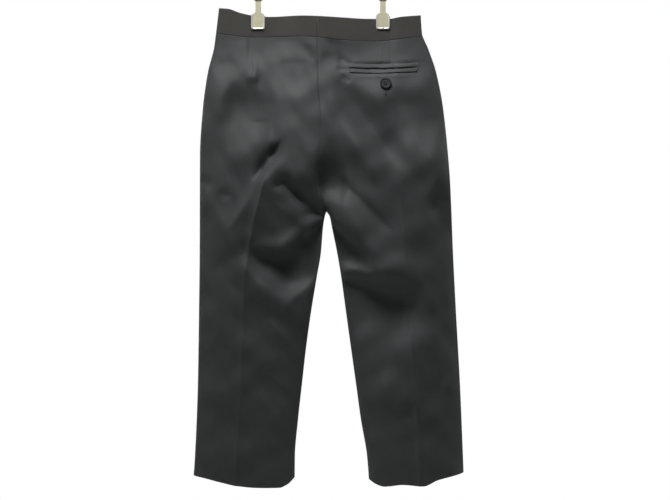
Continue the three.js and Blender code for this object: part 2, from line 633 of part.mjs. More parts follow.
// The closed zip: a strip on the inside of the fly, thicker along its teeth
const ZIP_STEPS = 12;
const ZIP_COLUMNS = [-0.5, -0.13, 0.13, 0.5];
const ZIP_TEETH = 0.8;
function zipGeometry() {
  const step = (ZIP.to - ZIP.from) / ZIP_STEPS;
  const rows = Array.from({ length: ZIP_STEPS + 1 }, (_, i) => ZIP.from + step * i);
  const grid = (thickness) =>
    rows.map((drop) =>
      ZIP_COLUMNS.map((c) => {
        const x = along(CENTRE_SEAMS, 'drop', 'front', drop) + c * ZIP.width;
        const teeth = Math.abs(c) < 0.5 ? ZIP_TEETH : 0;
        const point = clothPoint('front', x, drop, CLOTH);
        point.y -= ZIP.gap + SEAM_GAP / 2 + (thickness ? thickness + teeth : 0);
        return point;
      }));
  return wallGeometry(grid(0), grid(ZIP.thick));
}

// The hook's centre line: straight stem, a bend to one side, and an arc over the rail to the open tip
const HOOK_ARC = { from: -40, to: 212 };
const STEM_TOP = 24;
const BEND_REACH = 10;
const ARC_STEPS = 15;
const HOOK_STEPS = { along: 44, round: 5 };
function hangerGeometry() {
  const barZ = -HANGER_HEIGHT;
  const centreZ = HOOK_WIRE / 2 - HOOK_RADIUS;
  const onArc = (degrees) => {
    const a = THREE.MathUtils.degToRad(degrees);
    return new THREE.Vector3(HOOK_RADIUS * Math.cos(a), 0, centreZ + HOOK_RADIUS * Math.sin(a));
  };
  const start = onArc(HOOK_ARC.from);
  const lead = THREE.MathUtils.degToRad(HOOK_ARC.from + 90);
  const bend = new THREE.CubicBezierCurve3(
    new THREE.Vector3(0, 0, barZ + STEM_TOP),
    new THREE.Vector3(0, 0, barZ + STEM_TOP + BEND_REACH),
    new THREE.Vector3(start.x - BEND_REACH * Math.cos(lead), 0, start.z - BEND_REACH * Math.sin(lead)),
    start,
  );
  const arcStep = (HOOK_ARC.to - HOOK_ARC.from) / ARC_STEPS;
  const arc = Array.from({ length: ARC_STEPS }, (_, i) => onArc(HOOK_ARC.from + arcStep * (i + 1)));
  const line = new THREE.CatmullRomCurve3([
    new THREE.Vector3(0, 0, barZ),
    new THREE.Vector3(0, 0, barZ + STEM_TOP / 2),
    ...bend.getPoints(4),
    ...arc,
  ]);
  const wire = new THREE.Shape().absarc(0, 0, HOOK_WIRE / 2, 0, 2 * Math.PI);
  const path = { steps: HOOK_STEPS.along, curveSegments: HOOK_STEPS.round, extrudePath: line };
  const hook = new THREE.ExtrudeGeometry(wire, path);
  const bar = new THREE.CylinderGeometry(BAR_DIAMETER / 2, BAR_DIAMETER / 2, BAR_LENGTH, ROUND_SIDES.bar);
  bar.rotateZ(Math.PI / 2).translate(0, 0, barZ);
  return fromSolid(toSolid(hook).add(toSolid(bar)));
}

// A clip: a strip folded over the bar, with wide jaws on both sides of the waistband and a narrow neck
function clipGeometry(half) {
  const inside = PINCH + SEAM_GAP;
  const outside = inside + CLIP_SHEET;
  const barZ = -HANGER_HEIGHT;
  const footZ = WAIST_Z - CLIP_FOOT_DROP;
  const strap = new THREE.Shape();
  strap.moveTo(outside, footZ);
  strap.lineTo(outside, barZ);
  strap.absarc(0, barZ, outside, 0, Math.PI, false);
  strap.lineTo(-outside, footZ);
  strap.lineTo(-inside, footZ);
  strap.lineTo(-inside, barZ);
  strap.absarc(0, barZ, inside, Math.PI, 0, true);
  strap.lineTo(inside, footZ);
  const sweep = { depth: CLIP_WIDTH, bevelEnabled: false, curveSegments: 10 };
  const folded = new THREE.ExtrudeGeometry(strap, sweep);
  folded.translate(0, 0, -CLIP_WIDTH / 2);
  folded.applyMatrix4(new THREE.Matrix4().set(0, 0, 1, 0, 1, 0, 0, 0, 0, 1, 0, 0, 0, 0, 0, 1));
  const jaw = CLIP_WIDTH / 2;
  const neck = CLIP_NECK / 2;
  const corner = CLIP_CORNER;
  const shoulderZ = WAIST_Z - CLIP_SHOULDER_DROP;
  const front = new THREE.Shape();
  front.moveTo(-jaw + corner, footZ);
  front.lineTo(jaw - corner, footZ);
  front.absarc(jaw - corner, footZ + corner, corner, -Math.PI / 2, 0, false);
  front.lineTo(jaw, shoulderZ);
  front.lineTo(neck, shoulderZ + CLIP_TAPER);
  front.lineTo(neck, barZ + 2 * outside);
  front.lineTo(-neck, barZ + 2 * outside);
  front.lineTo(-neck, shoulderZ + CLIP_TAPER);
  front.lineTo(-jaw, shoulderZ);
  front.absarc(-jaw + corner, footZ + corner, corner, Math.PI, 1.5 * Math.PI, false);
  const through = { depth: 4 * outside, bevelEnabled: false, curveSegments: 4 };
  const outline = new THREE.ExtrudeGeometry(front, through);
  outline.translate(0, 0, -2 * outside).rotateX(Math.PI / 2);
  const solid = toSolid(folded).intersect(toSolid(outline));
  return fromSolid(solid).translate(CLIP_X[half], 0, 0);
}

// The ring round a clip's neck, which slides down to press its jaws together
function ringGeometry(half) {
  const x = CLIP_NECK / 2 + SEAM_GAP;
  const y = PINCH + SEAM_GAP + CLIP_SHEET + SEAM_GAP;
  const box = (hx, hy, h) => toSolid(new THREE.BoxGeometry(2 * hx, 2 * hy, h));
  const solid = box(x + RING_WALL, y + RING_WALL, RING_HEIGHT).subtract(box(x, y, 2 * RING_HEIGHT));
  const ringZ = -HANGER_HEIGHT - BAR_DIAMETER / 2 - RING_HEIGHT / 2 - RING_PLAY;
  return fromSolid(solid).translate(CLIP_X[half], 0, ringZ);
}

const trousers = new THREE.Group();

const cloth = () => new THREE.MeshStandardMaterial({ color: 0x464848, roughness: 0.85, metalness: 0 });
const band = () => new THREE.MeshStandardMaterial({ color: 0x454341, roughness: 0.9, metalness: 0 });
const horn = () => new THREE.MeshStandardMaterial({ color: 0x24262a, roughness: 0.35, metalness: 0 });
const tape = () => new THREE.MeshStandardMaterial({ color: 0x303234, roughness: 0.8, metalness: 0 });
const steel = () => new THREE.MeshStandardMaterial({ color: 0xbdb9a6, roughness: 0.35, metalness: 0.8 });

function addPiece(name, geometry, material) {
  const mesh = new THREE.Mesh(geometry, material);
  mesh.name = name;
  mesh.material.side = THREE.DoubleSide;
  trousers.add(mesh);
  return mesh;
}

const backLeft = addPiece('back_left', panelGeometry('back', 'left'), cloth());
const backRight = addPiece('back_right', panelGeometry('back', 'right'), cloth());
addPiece('front_left', panelGeometry('front', 'left'), cloth());
addPiece('front_right', panelGeometry('front', 'right'), cloth());
const bandLeft = addPiece('waistband_left', bandGeometry('left'), band());
addPiece('waistband_right', bandGeometry('right'), band());

addPiece('pocket_welt_upper', weltGeometry(backRight, true), cloth());
addPiece('pocket_welt_lower', weltGeometry(backRight, false), cloth());
placeButton(addPiece('pocket_button', buttonGeometry(), horn()), 'back', backRight, POCKET_BUTTON);
placeButton(addPiece('waist_button', buttonGeometry(), horn()), 'front', bandLeft, TAB_BUTTON);
addPiece('fly_zip', zipGeometry(), tape());

addPiece('hanger_wire', hangerGeometry(), steel());
for (const half of ['left', 'right']) {
  addPiece(`clip_${half}`, clipGeometry(half), steel());
  addPiece(`clip_ring_${half}`, ringGeometry(half), steel());
}

export default trousers;
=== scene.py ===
"""Child's dress trousers on a clip hanger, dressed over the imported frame.

Millimetres are used for the garment's own sizes, and every mesh is put into metres when it is made.
The seat faces -Y and the fly +Y. A drop is a distance below the waistband's top edge at the centre back,
and "across" is a distance from the middle towards the side seam of the half that is being made.
"""

import json
import math

import bmesh
import bpy
import numpy as np
from bpy.props import FloatProperty, FloatVectorProperty, PointerProperty
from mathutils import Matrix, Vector


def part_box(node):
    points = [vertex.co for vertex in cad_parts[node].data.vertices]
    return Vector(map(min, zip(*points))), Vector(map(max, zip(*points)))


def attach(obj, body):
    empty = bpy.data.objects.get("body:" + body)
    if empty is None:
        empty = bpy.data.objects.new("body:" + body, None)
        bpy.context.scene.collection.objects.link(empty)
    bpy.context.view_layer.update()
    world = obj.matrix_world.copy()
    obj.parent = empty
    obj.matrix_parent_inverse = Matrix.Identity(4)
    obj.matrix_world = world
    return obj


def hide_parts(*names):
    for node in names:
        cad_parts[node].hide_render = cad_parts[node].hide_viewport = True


bl_info = {
    "name": "Dress trousers on a clip hanger",
    "version": (1, 0, 0),
    "blender": (4, 5, 0),
    "location": "3D View > Sidebar > Trousers",
    "description": "Cloth, welts, buttons, zip, hanger and studio for a pair of hanging dress trousers",
    "category": "Object",
}

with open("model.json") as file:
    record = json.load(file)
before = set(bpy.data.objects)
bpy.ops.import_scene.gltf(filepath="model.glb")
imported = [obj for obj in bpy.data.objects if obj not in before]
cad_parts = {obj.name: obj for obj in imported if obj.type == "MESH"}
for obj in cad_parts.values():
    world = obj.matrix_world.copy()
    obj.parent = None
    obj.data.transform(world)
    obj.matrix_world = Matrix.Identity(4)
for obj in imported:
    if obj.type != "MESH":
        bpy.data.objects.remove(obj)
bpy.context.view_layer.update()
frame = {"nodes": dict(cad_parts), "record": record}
MM = 0.001

# How far the waistband's top edge hangs below the hook's top, and where the two clips hold it
WAIST_Z = -111
CLIP_X = {"left": -81, "right": 82.5}
SIDE = {"left": -1, "right": 1}
OUTWARDS = {"back": -1, "front": 1}

# The gap that stands for a seam, the walls of the panels and the waistband, the hem's turn-up and how much
# thicker it is, and how far the cloth's edges are rounded
SEAM_GAP = 0.04
CLOTH = 1.6
BAND_WALL = 2.2
HEM_TURN_UP = 32
HEM_EXTRA = 1
EDGE_ROUND = 0.55

# The waistband is pinched flat by the clips and bows away from its middle plane between them. Between the two
# pinch drops that shape turns into the body's
PINCH = 2.6
PINCH_HALF_WIDTH = 11
BAND_BOW = {"back": 12, "front": 9.5}
BAND_SIDE_BOW = 2.2
PINCH_DROPS = (26, 112)
SIDE_FOLD = 4

# The left front's lap over the fly, the waistband's tab over the right half, and the gap under both
FLY_LAP = 8
FLY_END = 150
FLY_TAPER = 14
TAB_LAP = 27
LAP_GAP = 0.45
LAP_RISE = (7, 13)
LAP_SPREAD = 14

# The panels' fork, first and last row, how far down and up the shapes of the waist seam and the hem reach,
# and in how many rounds the rows settle on them
FORK_DROP = 255
FIRST_ROW = 29
LAST_ROW = 605
SHIFT_END = 120
SHIFT_START = 450
SETTLE_ROUNDS = 4

# How the grid's rows and columns close up at the edges, at the turn-up's step and where the cloth turns
EDGE_ROWS = (0.0, 0.15, 0.45, 0.9)
EVEN_ROWS = (1.6, 2.4)
TURN_UP_ROWS = (-1.2, -0.6, 0.0, 0.6, 1.2)
TURN_UP_STEP = 0.9
EVEN_SHARE = 0.65

# The largest share of the body's depth that its centre seam takes, and how far above the fork the seam's
# rounded edge ends
SEAM_DEPTH_LIMIT = 0.985
FORK_CLEAR = 6

# Where the folds may stand: clear of the side's turn and of the waist seam, and sunk into no more than a
# share of the room behind the cloth
FOLD_CLEAR = 10
CALM_DROPS = (25, 38)
SINK_SHARE = 0.85
CREASE_REACH = 5

# How a fold dies out at its ends, how narrow it is there, and how sharp its crest is by its width
FOLD_FADE = 2.2
FOLD_END_WIDTH = 0.55
SHARP_CREST = 1.5
SOFT_CREST = 2.0
CREST_WIDTHS = (6, 14)

# The cloth's slight unevenness: a wave as long as the full wave has the full height
UNEVEN_SHARE = {"back": 1, "front": 0.6}
UNEVEN_SEED = {"back": 7, "front": 11, "band": 5}
WAVE_COUNT = 14
WAVE_LENGTHS = (18, 80)
WAVE_TURNS = (0.35, 1.25)
FULL_WAVE = 90


def table(columns, *rows):
    """Named columns of a table of numbers, as arrays."""
    return dict(zip(columns.split(), np.array(rows, float).T))


SECTIONS = table(
    "drop left right back front round",
    (-12, 132.3, 131.5, 14, 11, 3.2),
    (21, 136.2, 133.6, 14, 11, 3.2),
    (41, 138.9, 141.5, 17, 12, 3.0),
    (72, 146.7, 152.0, 22, 15, 2.8),
    (119, 153.3, 161.1, 28, 19, 2.6),
    (182, 157.2, 167.7, 31, 22, 2.4),
    (245, 157.4, 171.6, 31, 23, 2.3),
    (308, 157.6, 174.2, 28, 22, 2.2),
    (387, 158.5, 178.2, 25, 20, 2.1),
    (481, 160.0, 183.4, 23, 19, 2.0),
    (575, 163.8, 187.3, 22, 18, 2.0),
    (620, 167.0, 189.0, 22, 18, 2.0),
)

CENTRE_SEAMS = table(
    "drop back front backDeep frontDeep",
    (-12, -3.5, 0, 14, 11),
    (28, -3.5, 0, 15, 12),
    (94, -2.4, 0.3, 22, 15.5),
    (135, 1.6, 0.8, 27, 19),
    (176, 2.1, 1.6, 28, 20),
    (208, -2.6, 3.0, 25, 18),
    (231, -0.5, 5.0, 20, 14),
    (243, 3.6, 6.6, 15, 10.5),
    (251, 6.9, 7.8, 8.5, 6),
    (FORK_DROP, 8.5, 8.5, 0, 0),
)

INSEAMS = table(
    "drop left right",
    (FORK_DROP, 8.3, 8.7),
    (261, 6.4, 12.6),
    (276, 3.9, 15.7),
    (308, 1.3, 22.3),
    (339, -3.9, 27.5),
    (387, -11.8, 34.1),
    (434, -18.3, 40.6),
    (481, -23.6, 47.2),
    (528, -28.8, 53.7),
    (575, -32.8, 61.6),
    (620, -33.2, 65.0),
)

# Pressed creases; rise is how far the crease stands up
CREASES = {
    "back": table(
        "drop left right riseLeft riseRight",
        (-12, -90.4, 82.5, 0, 0),
        (76, -90.4, 83.0, 0, 0),
        (119, -75.0, 88.5, 0, 0),
        (147, -64.0, 92.5, 0.9, 0),
        (194, -66.8, 99.0, 2.4, 0),
        (232, -76.0, 103.5, 2.4, 0.3),
        (279, -87.8, 108.5, 2.0, 1.2),
        (345, -97.2, 112.6, 2.0, 1.6),
        (434, -100.9, 119.0, 2.2, 2.0),
        (497, -103.5, 125.0, 2.4, 2.4),
        (620, -110.5, 130.0, 2.6, 2.6),
    ),
    "front": table(
        "drop left right riseLeft riseRight",
        (-12, -76, 76, 0, 0),
        (60, -78, 79, 0.6, 0.6),
        (150, -82, 87, 1.6, 1.6),
        (255, -86, 96, 2.0, 2.0),
        (345, -92, 104, 2.2, 2.2),
        (497, -101, 119, 2.4, 2.4),
        (620, -106, 128, 2.6, 2.6),
    ),
}

# The waistband's top edge and the seam under it
WAIST = {
    "back": table(
        "x top seam",
        (-136, -11.8, 21.6),
        (-120, -10.5, 24.0),
        (-105, -5.2, 26.0),
        (-90, -2.0, 27.0),
        (-65, 0, 27.0),
        (-26, -1.0, 26.4),
        (0, 0, 27.8),
        (29, 1.4, 31.0),
        (64, 2.6, 32.5),
        (90, 2.6, 31.2),
        (107, 0, 29.0),
        (136, -2.6, 25.4),
    ),
    "front": table(
        "x top seam",
        (-136, -11.8, 21.6),
        (-90, 0.5, 29.5),
        (0, 6.0, 35.0),
        (90, 4.0, 33.0),
        (136, -2.6, 25.4),
    ),
}

# Hem line of each leg; q runs from the inseam to the side seam
HEMS = table(
    "q backLeft backRight frontLeft frontRight",
    (0.0, 602.5, 605.0, 602.5, 605.0),
    (0.07, 611.0, 610.5, 602.0, 604.0),
    (0.15, 615.0, 613.4, 601.5, 602.5),
    (0.35, 614.5, 610.8, 600.5, 600.0),
    (0.56, 612.0, 612.3, 600.0, 598.0),
    (0.72, 607.5, 604.5, 599.5, 597.0),
    (0.85, 603.5, 600.5, 599.5, 596.0),
    (1.0, 600.0, 596.0, 600.0, 596.0),
)

# Folds, each from one point to another and bowed sideways by bend at its middle. Rise stands it up or sinks
# it, and it dies out over wideA on the left of its direction, as seen from the back, and wideB on the right
FOLD_COLUMNS = "x1 drop1 x2 drop2 bend rise wideA wideB"
FOLDS = {
    "back": table(
        FOLD_COLUMNS,
        # Left dart, the bump at its end, the hollows round it and the rise under the waist seam
        (-88.4, 18, -88.4, 80, 0, -0.8, 1.2, 1.0),
        (-96, 80, -80, 81, 0, 3.0, 10, 7),
        (-46, 62, -16, 62, 0, -1.8, 7, 14),
        (-78, 40, -70, 100, 0, -3.5, 12, 11),
        (-126, 118, -62, 122, 3, -18.0, 26, 38),
        (-144, 60, -112, 62, 0, -1.6, 9, 14),
        (-88, 138, -65, 141, 0, -1.6, 4, 5),
        (-130, 60, -4, 60, 0, 3.0, 26, 22),
        # Right dart and the smudges under the waistband
        (82.5, 20, 82.5, 60, 0, -0.7, 1.0, 1.0),
        (-20, 40, -6, 58, 0, -1.2, 8, 8),
        (2, 54, 34, 54, 0, -2.4, 9, 18),
        # Left seat: its belly, the slit beside the crease, the lifted crease, the zigzag and its lip
        (-72, 186, 2, 212, 0, 8.0, 62, 24),
        (-52, 168, -85, 214, 0, -14.0, 10, 7),
        (-60, 178, -114, 274, 3, 9.0, 22, 7),
        (-68, 196, -97, 332, 0, 5.0, 18, 6),
        (-61, 226, -38, 209, 0, -4.5, 6, 9),
        (-48, 216, 2, 264, 0, -7.5, 7, 8),
        (-22, 258, 8, 258, 0, -4.5, 6, 8),
        (-56, 246, -8, 282, 0, 2.2, 10, 9),
        (-158, 214, -140, 222, 0, -3.1, 8, 8),
        (-130, 230, -116, 237, 0, -1.8, 7, 7),
        # Left thigh: the ridge, the deep hollow and the smile under it
        (-88, 300, -40, 306, 0, 8.5, 13, 11),
        (-52, 308, 8, 262, 0, 9.5, 13, 13),
        (-94, 296, -28, 350, 0, -12.5, 20, 20),
        (-50, 348, 18, 304, 0, -17.5, 36, 18),
        (-34, 302, 12, 274, 0, -8.1, 16, 15),
        (-110, 322, -30, 390, 3, 5.8, 13, 22),
        (-50, 390, 8, 340, 3, 5.8, 13, 22),
        (-162, 200, -92, 334, -4, 4.4, 12, 16),
        # Right seat: the pit beside the seam, the fans from the pocket, the bright hip, the fold off the fork
        (-4, 219, 34, 215, 0, -16.0, 28, 20),
        (10, 224, 60, 208, 0, -5.0, 46, 20),
        (30, 146, 80, 216, 0, 5.2, 16, 16),
        (24, 92, 104, 192, 0, -14.0, 18, 16),
        (86, 118, 166, 128, 3, -9.0, 24, 42),
        (148, 168, 190, 270, 0, 11.0, 28, 26),
        (112, 146, 176, 232, 0, 6.0, 26, 22),
        (140, 248, 168, 254, 0, -5.5, 26, 16),
        (22, 210, 92, 280, 0, -4.8, 7, 11),
        (2, 248, 80, 314, 0, 10.0, 30, 13),
        (-2, 270, 68, 336, 0, -17.5, 14, 22),
        # Right thigh: the deep hollow under its ridge, and the right side
        (22, 350, 132, 388, 0, -25.0, 24, 48),
        (24, 346, 88, 372, 0, -9.0, 14, 7),
        (8, 338, 132, 330, 0, 13.0, 24, 28),
        (26, 324, 70, 338, 0, 2.0, 8, 8),
        (30, 360, 44, 363, 0, 1.8, 6, 6),
        (70, 494, 126, 504, 0, 5.0, 36, 14),
        (160, 478, 190, 490, 0, 3.8, 22, 10),
        # Left shin: soft small folds inside the crease
        (-66, 396, -36, 432, 0, 1.8, 7, 7),
        (-58, 424, -28, 462, 0, -1.6, 7, 7),
        (-70, 464, -32, 496, 0, 1.5, 8, 8),
        (-62, 504, -34, 536, 0, -1.3, 8, 8),
        (-92, 562, -48, 560, 0, 2.4, 20, 10),
        # Pull marks round the pocket, and the ditch along its upper welt
        (28, 78, 40, 86, 0, -2.0, 6, 5),
        (33, 61.4, 132, 59.9, -1.6, -1.8, 1.7, 1.3),
        (24, 55, 42, 63, 0, -2.4, 4, 5),
        (22, 70, 42, 69, 0, -2.0, 4, 4),
        (70, 75, 88, 84, 0, 1.0, 3.5, 3.5),
        (40, 80, 126, 77.5, 0, 1.0, 3.5, 3.5),
    ),
    "front": table(
        FOLD_COLUMNS,
        (-10, 246, -90, 212, 4, 4.0, 9, 9),
        (-8, 262, -80, 240, 4, -4.2, 6, 9),
        (-16, 284, -64, 334, 0, 4.0, 12, 11),
        (-20, 330, -104, 358, -5, -3.6, 14, 12),
        (24, 246, 104, 208, -4, 4.0, 9, 9),
        (22, 264, 92, 238, -4, -4.2, 9, 6),
        (30, 288, 78, 342, 0, 4.0, 11, 12),
        (38, 344, 120, 368, 5, -3.6, 12, 14),
        (-122, 92, -98, 178, 0, -3.4, 13, 13),
        (124, 90, 104, 184, 0, -3.4, 13, 13),
        (-62, 48, -50, 110, 0, -2.2, 9, 9),
        (64, 46, 52, 112, 0, -2.2, 9, 9),
        (-64, 400, -34, 446, 0, 1.8, 8, 8),
        (58, 410, 92, 458, 0, -1.8, 8, 8),
    ),
}

# Back pocket on the wearer's right: the slit's line, the welts beside it, the lining in it, a near-black
# strip of painted shade on the cloth, the tacks at its ends, and how far off the cloth these pieces lie
POCKET = {"left": 38, "right": 127.5, "drop": 68.2, "tilt": -1.5, "sag": 1.6, "slit": 0.8}
WELT = {"width": 5.7, "thick": 1.5, "edge": 0.12, "end_round": 0.9, "mouth": 0.9}
WELT_WAVES = table("height turns upper lower", (0.18, 23, 0, 2), (0.12, 51, 1, 1))
LINING_SHADE = {"end": 0.012, "half_height": 1.6, "rise": 0.22, "gap": 0.02}
TACK = {"half_height": 3.4, "inwards": 0.3, "lift": 1.35, "radius": 0.55, "uneven": 0.08}
TACK_TURN = 2.1
TACK_POINTS = 24
LYING_GAP = 0.1

# The pocket's buttonhole: its stitches are a long loop with straight sides, and its slot shows at the foot
# as a near-black line of painted shade
BUTTONHOLE = {"top": 84, "bottom": 104.5, "half_width": 1.5, "straight": 2.4, "gap": 0.15}
STITCHES = {"radius": 0.55, "flat": 0.7}
SLOT = {"up": 2.0, "down": 1.0, "radius": 0.7, "flat": 0.4}

# Four-hole buttons: the half-section, how far the holes lie off the middle, and the thread across them
BUTTON = {"radius": 7.5, "rim": 1, "thick": 3.2, "spread": 1.615, "hole": (0.75, 1.15), "dimple": 1.5}
BUTTON_PROFILE = table(
    "inwards height",
    (7.5, 2.3),
    (3.6, 2.3),
    (2.5, 2.3),
    (2.0, 2.65),
    (1.6, 3.08),
    (1.1, 3.2),
    (0.6, 3.08),
    (0.15, 2.65),
    (0.0, 2.0),
    (0.05, 1.2),
    (0.5, 0.45),
    (1.4, 0.05),
    (5.5, 0.0),
    (7.5, 0.0),
)
BUTTON_THREAD = {"under": 0.95, "bow": 0.35, "dive": 0.7, "radius": 0.34}
POCKET_BUTTON = {"x": 85.3, "drop": 89.6}
TAB_BUTTON_LEAN = 0.3

# How far the pointed end of a thread or bead reaches past its path, as a share of its radius
TIP_REACH = 0.6

# Copies of the frame's nodes: points closer than the gap in metres are one, faces that meet at less than the
# flat angle are one, and edges sharper than the bevel's angle are rounded in so many steps
DOUBLE_GAP = 1e-6
FLAT_ANGLE = 1
BEVEL_ANGLE = 40
BEVEL_SEGMENTS = 2

# The clips' raised rim, a bead set in from the jaw's edge, and the bevel of the clips and rings
RIM = {"inset": 1.0, "corner": 2.0, "shoulder": 2.2, "radius": 1.0, "flat": 0.75}
CLIP_BEVEL = 0.2
RING_BEVEL = 0.3

# Grid densities: (inner columns, outer columns, rows) of a panel, and the waistband's columns and levels
GRID = {"back": (84, 60, 312), "front": (54, 42, 240)}
BAND_COLUMNS = {"reach": 60, "under": 12, "fold": 36}
BAND_FOLD_SPACING = 0.8
TAB_PLACES = np.concatenate([[0, 0.01, 0.03], np.linspace(0.07, 0.97, 22)])
BAND_EDGE_LEVELS = np.array([0, 0.006, 0.018, 0.036, 0.06])
BAND_LEVELS = np.concatenate([BAND_EDGE_LEVELS, np.linspace(0.1, 0.9, 18), 1 - BAND_EDGE_LEVELS[::-1]])
WELT_GRID = (22, 150)
LINING_GRID = (8, 120)
BUTTON_GRID = {"face": 44, "edge": 52, "sides": 96}

# Points along the stitches and slot of the buttonhole, a button's thread, and a rim's sides and corners
STITCH_POINTS = 90
SLOT_POINTS = 20
THREAD_POINTS = 14
RIM_POINTS = {"side": 15, "corner": 9}

# The waistband's rounded edges, the depth under which they fade out, and its unevenness
BAND_EDGE_ROUND = 0.9
BAND_FADE_DEPTH = 2
BAND_UNEVEN = 0.25
BAND_UNEVEN_SCALE = 1.7

# Camera: the middle of the picture, its distance and the width that it takes in
VIEW_CENTRE = (19.65, -416.2)
VIEW_DISTANCE = 2400
VIEW_WIDTH = 877.7
SENSOR = 36

# Floor and studio lights, in metres. A light has its place, aim, size, the setting that holds its power with
# the share that it takes, and its spread in degrees
FLOOR_REACH = 2.0
FLOOR_LEVEL = -1.08
LIGHTS = {
    "Key light": ((-0.1, -0.48, 0.62), (0.0, 0.0, -0.1), (0.4, 0.3), "key_power", 1.0, 105),
    "Fill light": ((-0.9, -2.0, -0.2), (0.0, 0.0, -0.45), (1.6, 1.6), "fill_power", 1.0, 170),
    "Back light": ((0.15, 0.7, 0.6), (0.0, 0.0, -0.25), (0.6, 0.4), "key_power", 1.2, 100),
    "Left side light": ((-1.1, -0.35, 0.0), (0.0, 0.0, -0.4), (0.4, 1.0), "side_power", 1.0, 150),
    "Right side light": ((1.2, 0.0, -0.25), (0.0, 0.0, -0.35), (0.5, 1.4), "side_power", 1.0, 150),
}


# Shapes of the garment


def along(columns, by, column, place):
    """Reads a column at any place by a cubic between two rows.

    Its slope at each row is the harmonic mean of the rates before and after it, and 0 where they turn."""
    knots, values = columns[by], columns[column]
    at = np.clip(place, knots[0], knots[-1])
    i = np.searchsorted(knots[1:-1], at, side="left")
    rates = np.diff(values) / np.diff(knots)
    before, after = rates[:-1], rates[1:]
    together = before + after
    harmonic = np.where(before * after > 0, 2 * before * after / np.where(together == 0, 1, together), 0)
    slopes = np.concatenate([rates[:1], harmonic, rates[-1:]])
    span = knots[i + 1] - knots[i]
    t = (at - knots[i]) / span
    a, b = values[i], values[i + 1]
    bend = (1 - t) * slopes[i] * span - t * slopes[i + 1] * span
    return a + (b - a) * t + t * (1 - t) * (bend + (b - a) * (2 * t - 1))


def ease(start, end, value):
    """A smooth step from 0 at start to 1 at end: 3 t^2 - 2 t^3."""
    t = np.clip((value - start) / (end - start), 0, 1)
    return t * t * (3 - 2 * t)


def side_seam(half, drop):
    """Distance of the side seam from the middle."""
    return along(SECTIONS, "drop", half, drop)


def crease_line(face, half, drop):
    """Distance of the pressed crease from the middle, counted towards the half's side seam."""
    return SIDE[half] * along(CREASES[face], "drop", half, drop)


def centre_seam(face, half, drop):
    """Place of the centre seam, counted towards the half's side seam."""
    return SIDE[half] * along(CENTRE_SEAMS, "drop", face, drop)


def inner_end(face, half, drop):
    """The inseam below the fork. Above it, the place past the centre seam where the section would close: its
    depth at the seam is a share of the whole depth, and the superellipse with that share gives the place."""
    drop = np.asarray(drop, float)
    rounding = along(SECTIONS, "drop", "round", drop)
    deep = along(SECTIONS, "drop", face, drop)
    seam_deep = np.minimum(along(CENTRE_SEAMS, "drop", face + "Deep", drop), SEAM_DEPTH_LIMIT * deep)
    share = (1 - (seam_deep / deep) ** rounding) ** (1 / rounding)
    line = crease_line(face, half, drop)
    seam = centre_seam(face, half, drop) + SEAM_GAP / 2
    closed = line - (line - seam) / share
    return np.where(drop >= FORK_DROP, SIDE[half] * along(INSEAMS, "drop", half, drop), closed)


def waist_depth(face, half, across, drop, inset):
    """Depth of the pinched waist: flat at the clip, bowed to the centre by a smooth step, and folded round
    the side by the fourth root of 1 - u^4."""
    clip = abs(CLIP_X[half])
    away = across - clip
    bowed = ease(0, clip - PINCH_HALF_WIDTH, -away - PINCH_HALF_WIDTH)
    bow = PINCH + (BAND_BOW[face] - PINCH) * bowed - inset
    room = side_seam(half, drop) - inset - clip - PINCH_HALF_WIDTH
    u = np.clip((away - PINCH_HALF_WIDTH) / room, 0, 1)
    side = PINCH + BAND_SIDE_BOW * np.sin(np.pi * np.sqrt(u)) ** 2 - inset
    return np.where(away <= 0, bow, side * (1 - u**SIDE_FOLD) ** (1 / SIDE_FOLD))


def body_depth(face, half, across, drop, inset):
    """Depth of the hip or leg: deep * (1 - f^n)^(1/n), with f going from the crease to either end."""
    rounding = along(SECTIONS, "drop", "round", drop)
    deep = along(SECTIONS, "drop", face, drop) - inset
    line = crease_line(face, half, drop)
    end = np.where(across > line, side_seam(half, drop) - inset, inner_end(face, half, drop) + inset)
    f = np.clip((across - line) / (end - line), 0, 1)
    return deep * (1 - f**rounding) ** (1 / rounding)


def fold_height(folds, x, drop):
    """Sum over the folds of rise * exp(-|off / wide|^crest) * fade, with off from the bowed line.

    Along the fold, s goes from 0 to 1, fade is exp(-(FOLD_FADE (s - 1/2))^4), and the width narrows with it.
    The crest is SHARP_CREST on narrow folds and SOFT_CREST on wide ones."""
    height = np.zeros(np.broadcast(x, drop).shape)
    for x1, drop1, x2, drop2, bend, rise, wide_a, wide_b in zip(*(folds[c] for c in FOLD_COLUMNS.split())):
        length = math.hypot(x2 - x1, drop2 - drop1)
        ux, ud = (x2 - x1) / length, (drop2 - drop1) / length
        s = ((x - x1) * ux + (drop - drop1) * ud) / length
        off = (x - x1) * ud - (drop - drop1) * ux - bend * (1 - (2 * s - 1) ** 2)
        fade = np.exp(-((FOLD_FADE * (s - 0.5)) ** 4))
        wide = np.where(off > 0, wide_a, wide_b) * (FOLD_END_WIDTH + (1 - FOLD_END_WIDTH) * fade)
        crest = SHARP_CREST + (SOFT_CREST - SHARP_CREST) * ease(*CREST_WIDTHS, wide)
        height = height + rise * fade * np.exp(-np.abs(off / wide) ** crest)
    return height


def undulation(x, drop, seed):
    """Sum of sine waves, each as high as it is long, in seeded lengths, slanting directions and phases."""
    rng = np.random.default_rng(seed)
    lengths = rng.uniform(*WAVE_LENGTHS, WAVE_COUNT)
    turns = rng.uniform(*WAVE_TURNS, WAVE_COUNT) * rng.choice([-1, 1], WAVE_COUNT)
    phases = rng.uniform(0, 2 * np.pi, WAVE_COUNT)
    total = 0
    for length, turn, phase in zip(lengths, turns, phases):
        total = total + length * np.sin(2 * np.pi * (x * np.cos(turn) + drop * np.sin(turn)) / length + phase)
    return total / (FULL_WAVE * math.sqrt(WAVE_COUNT))


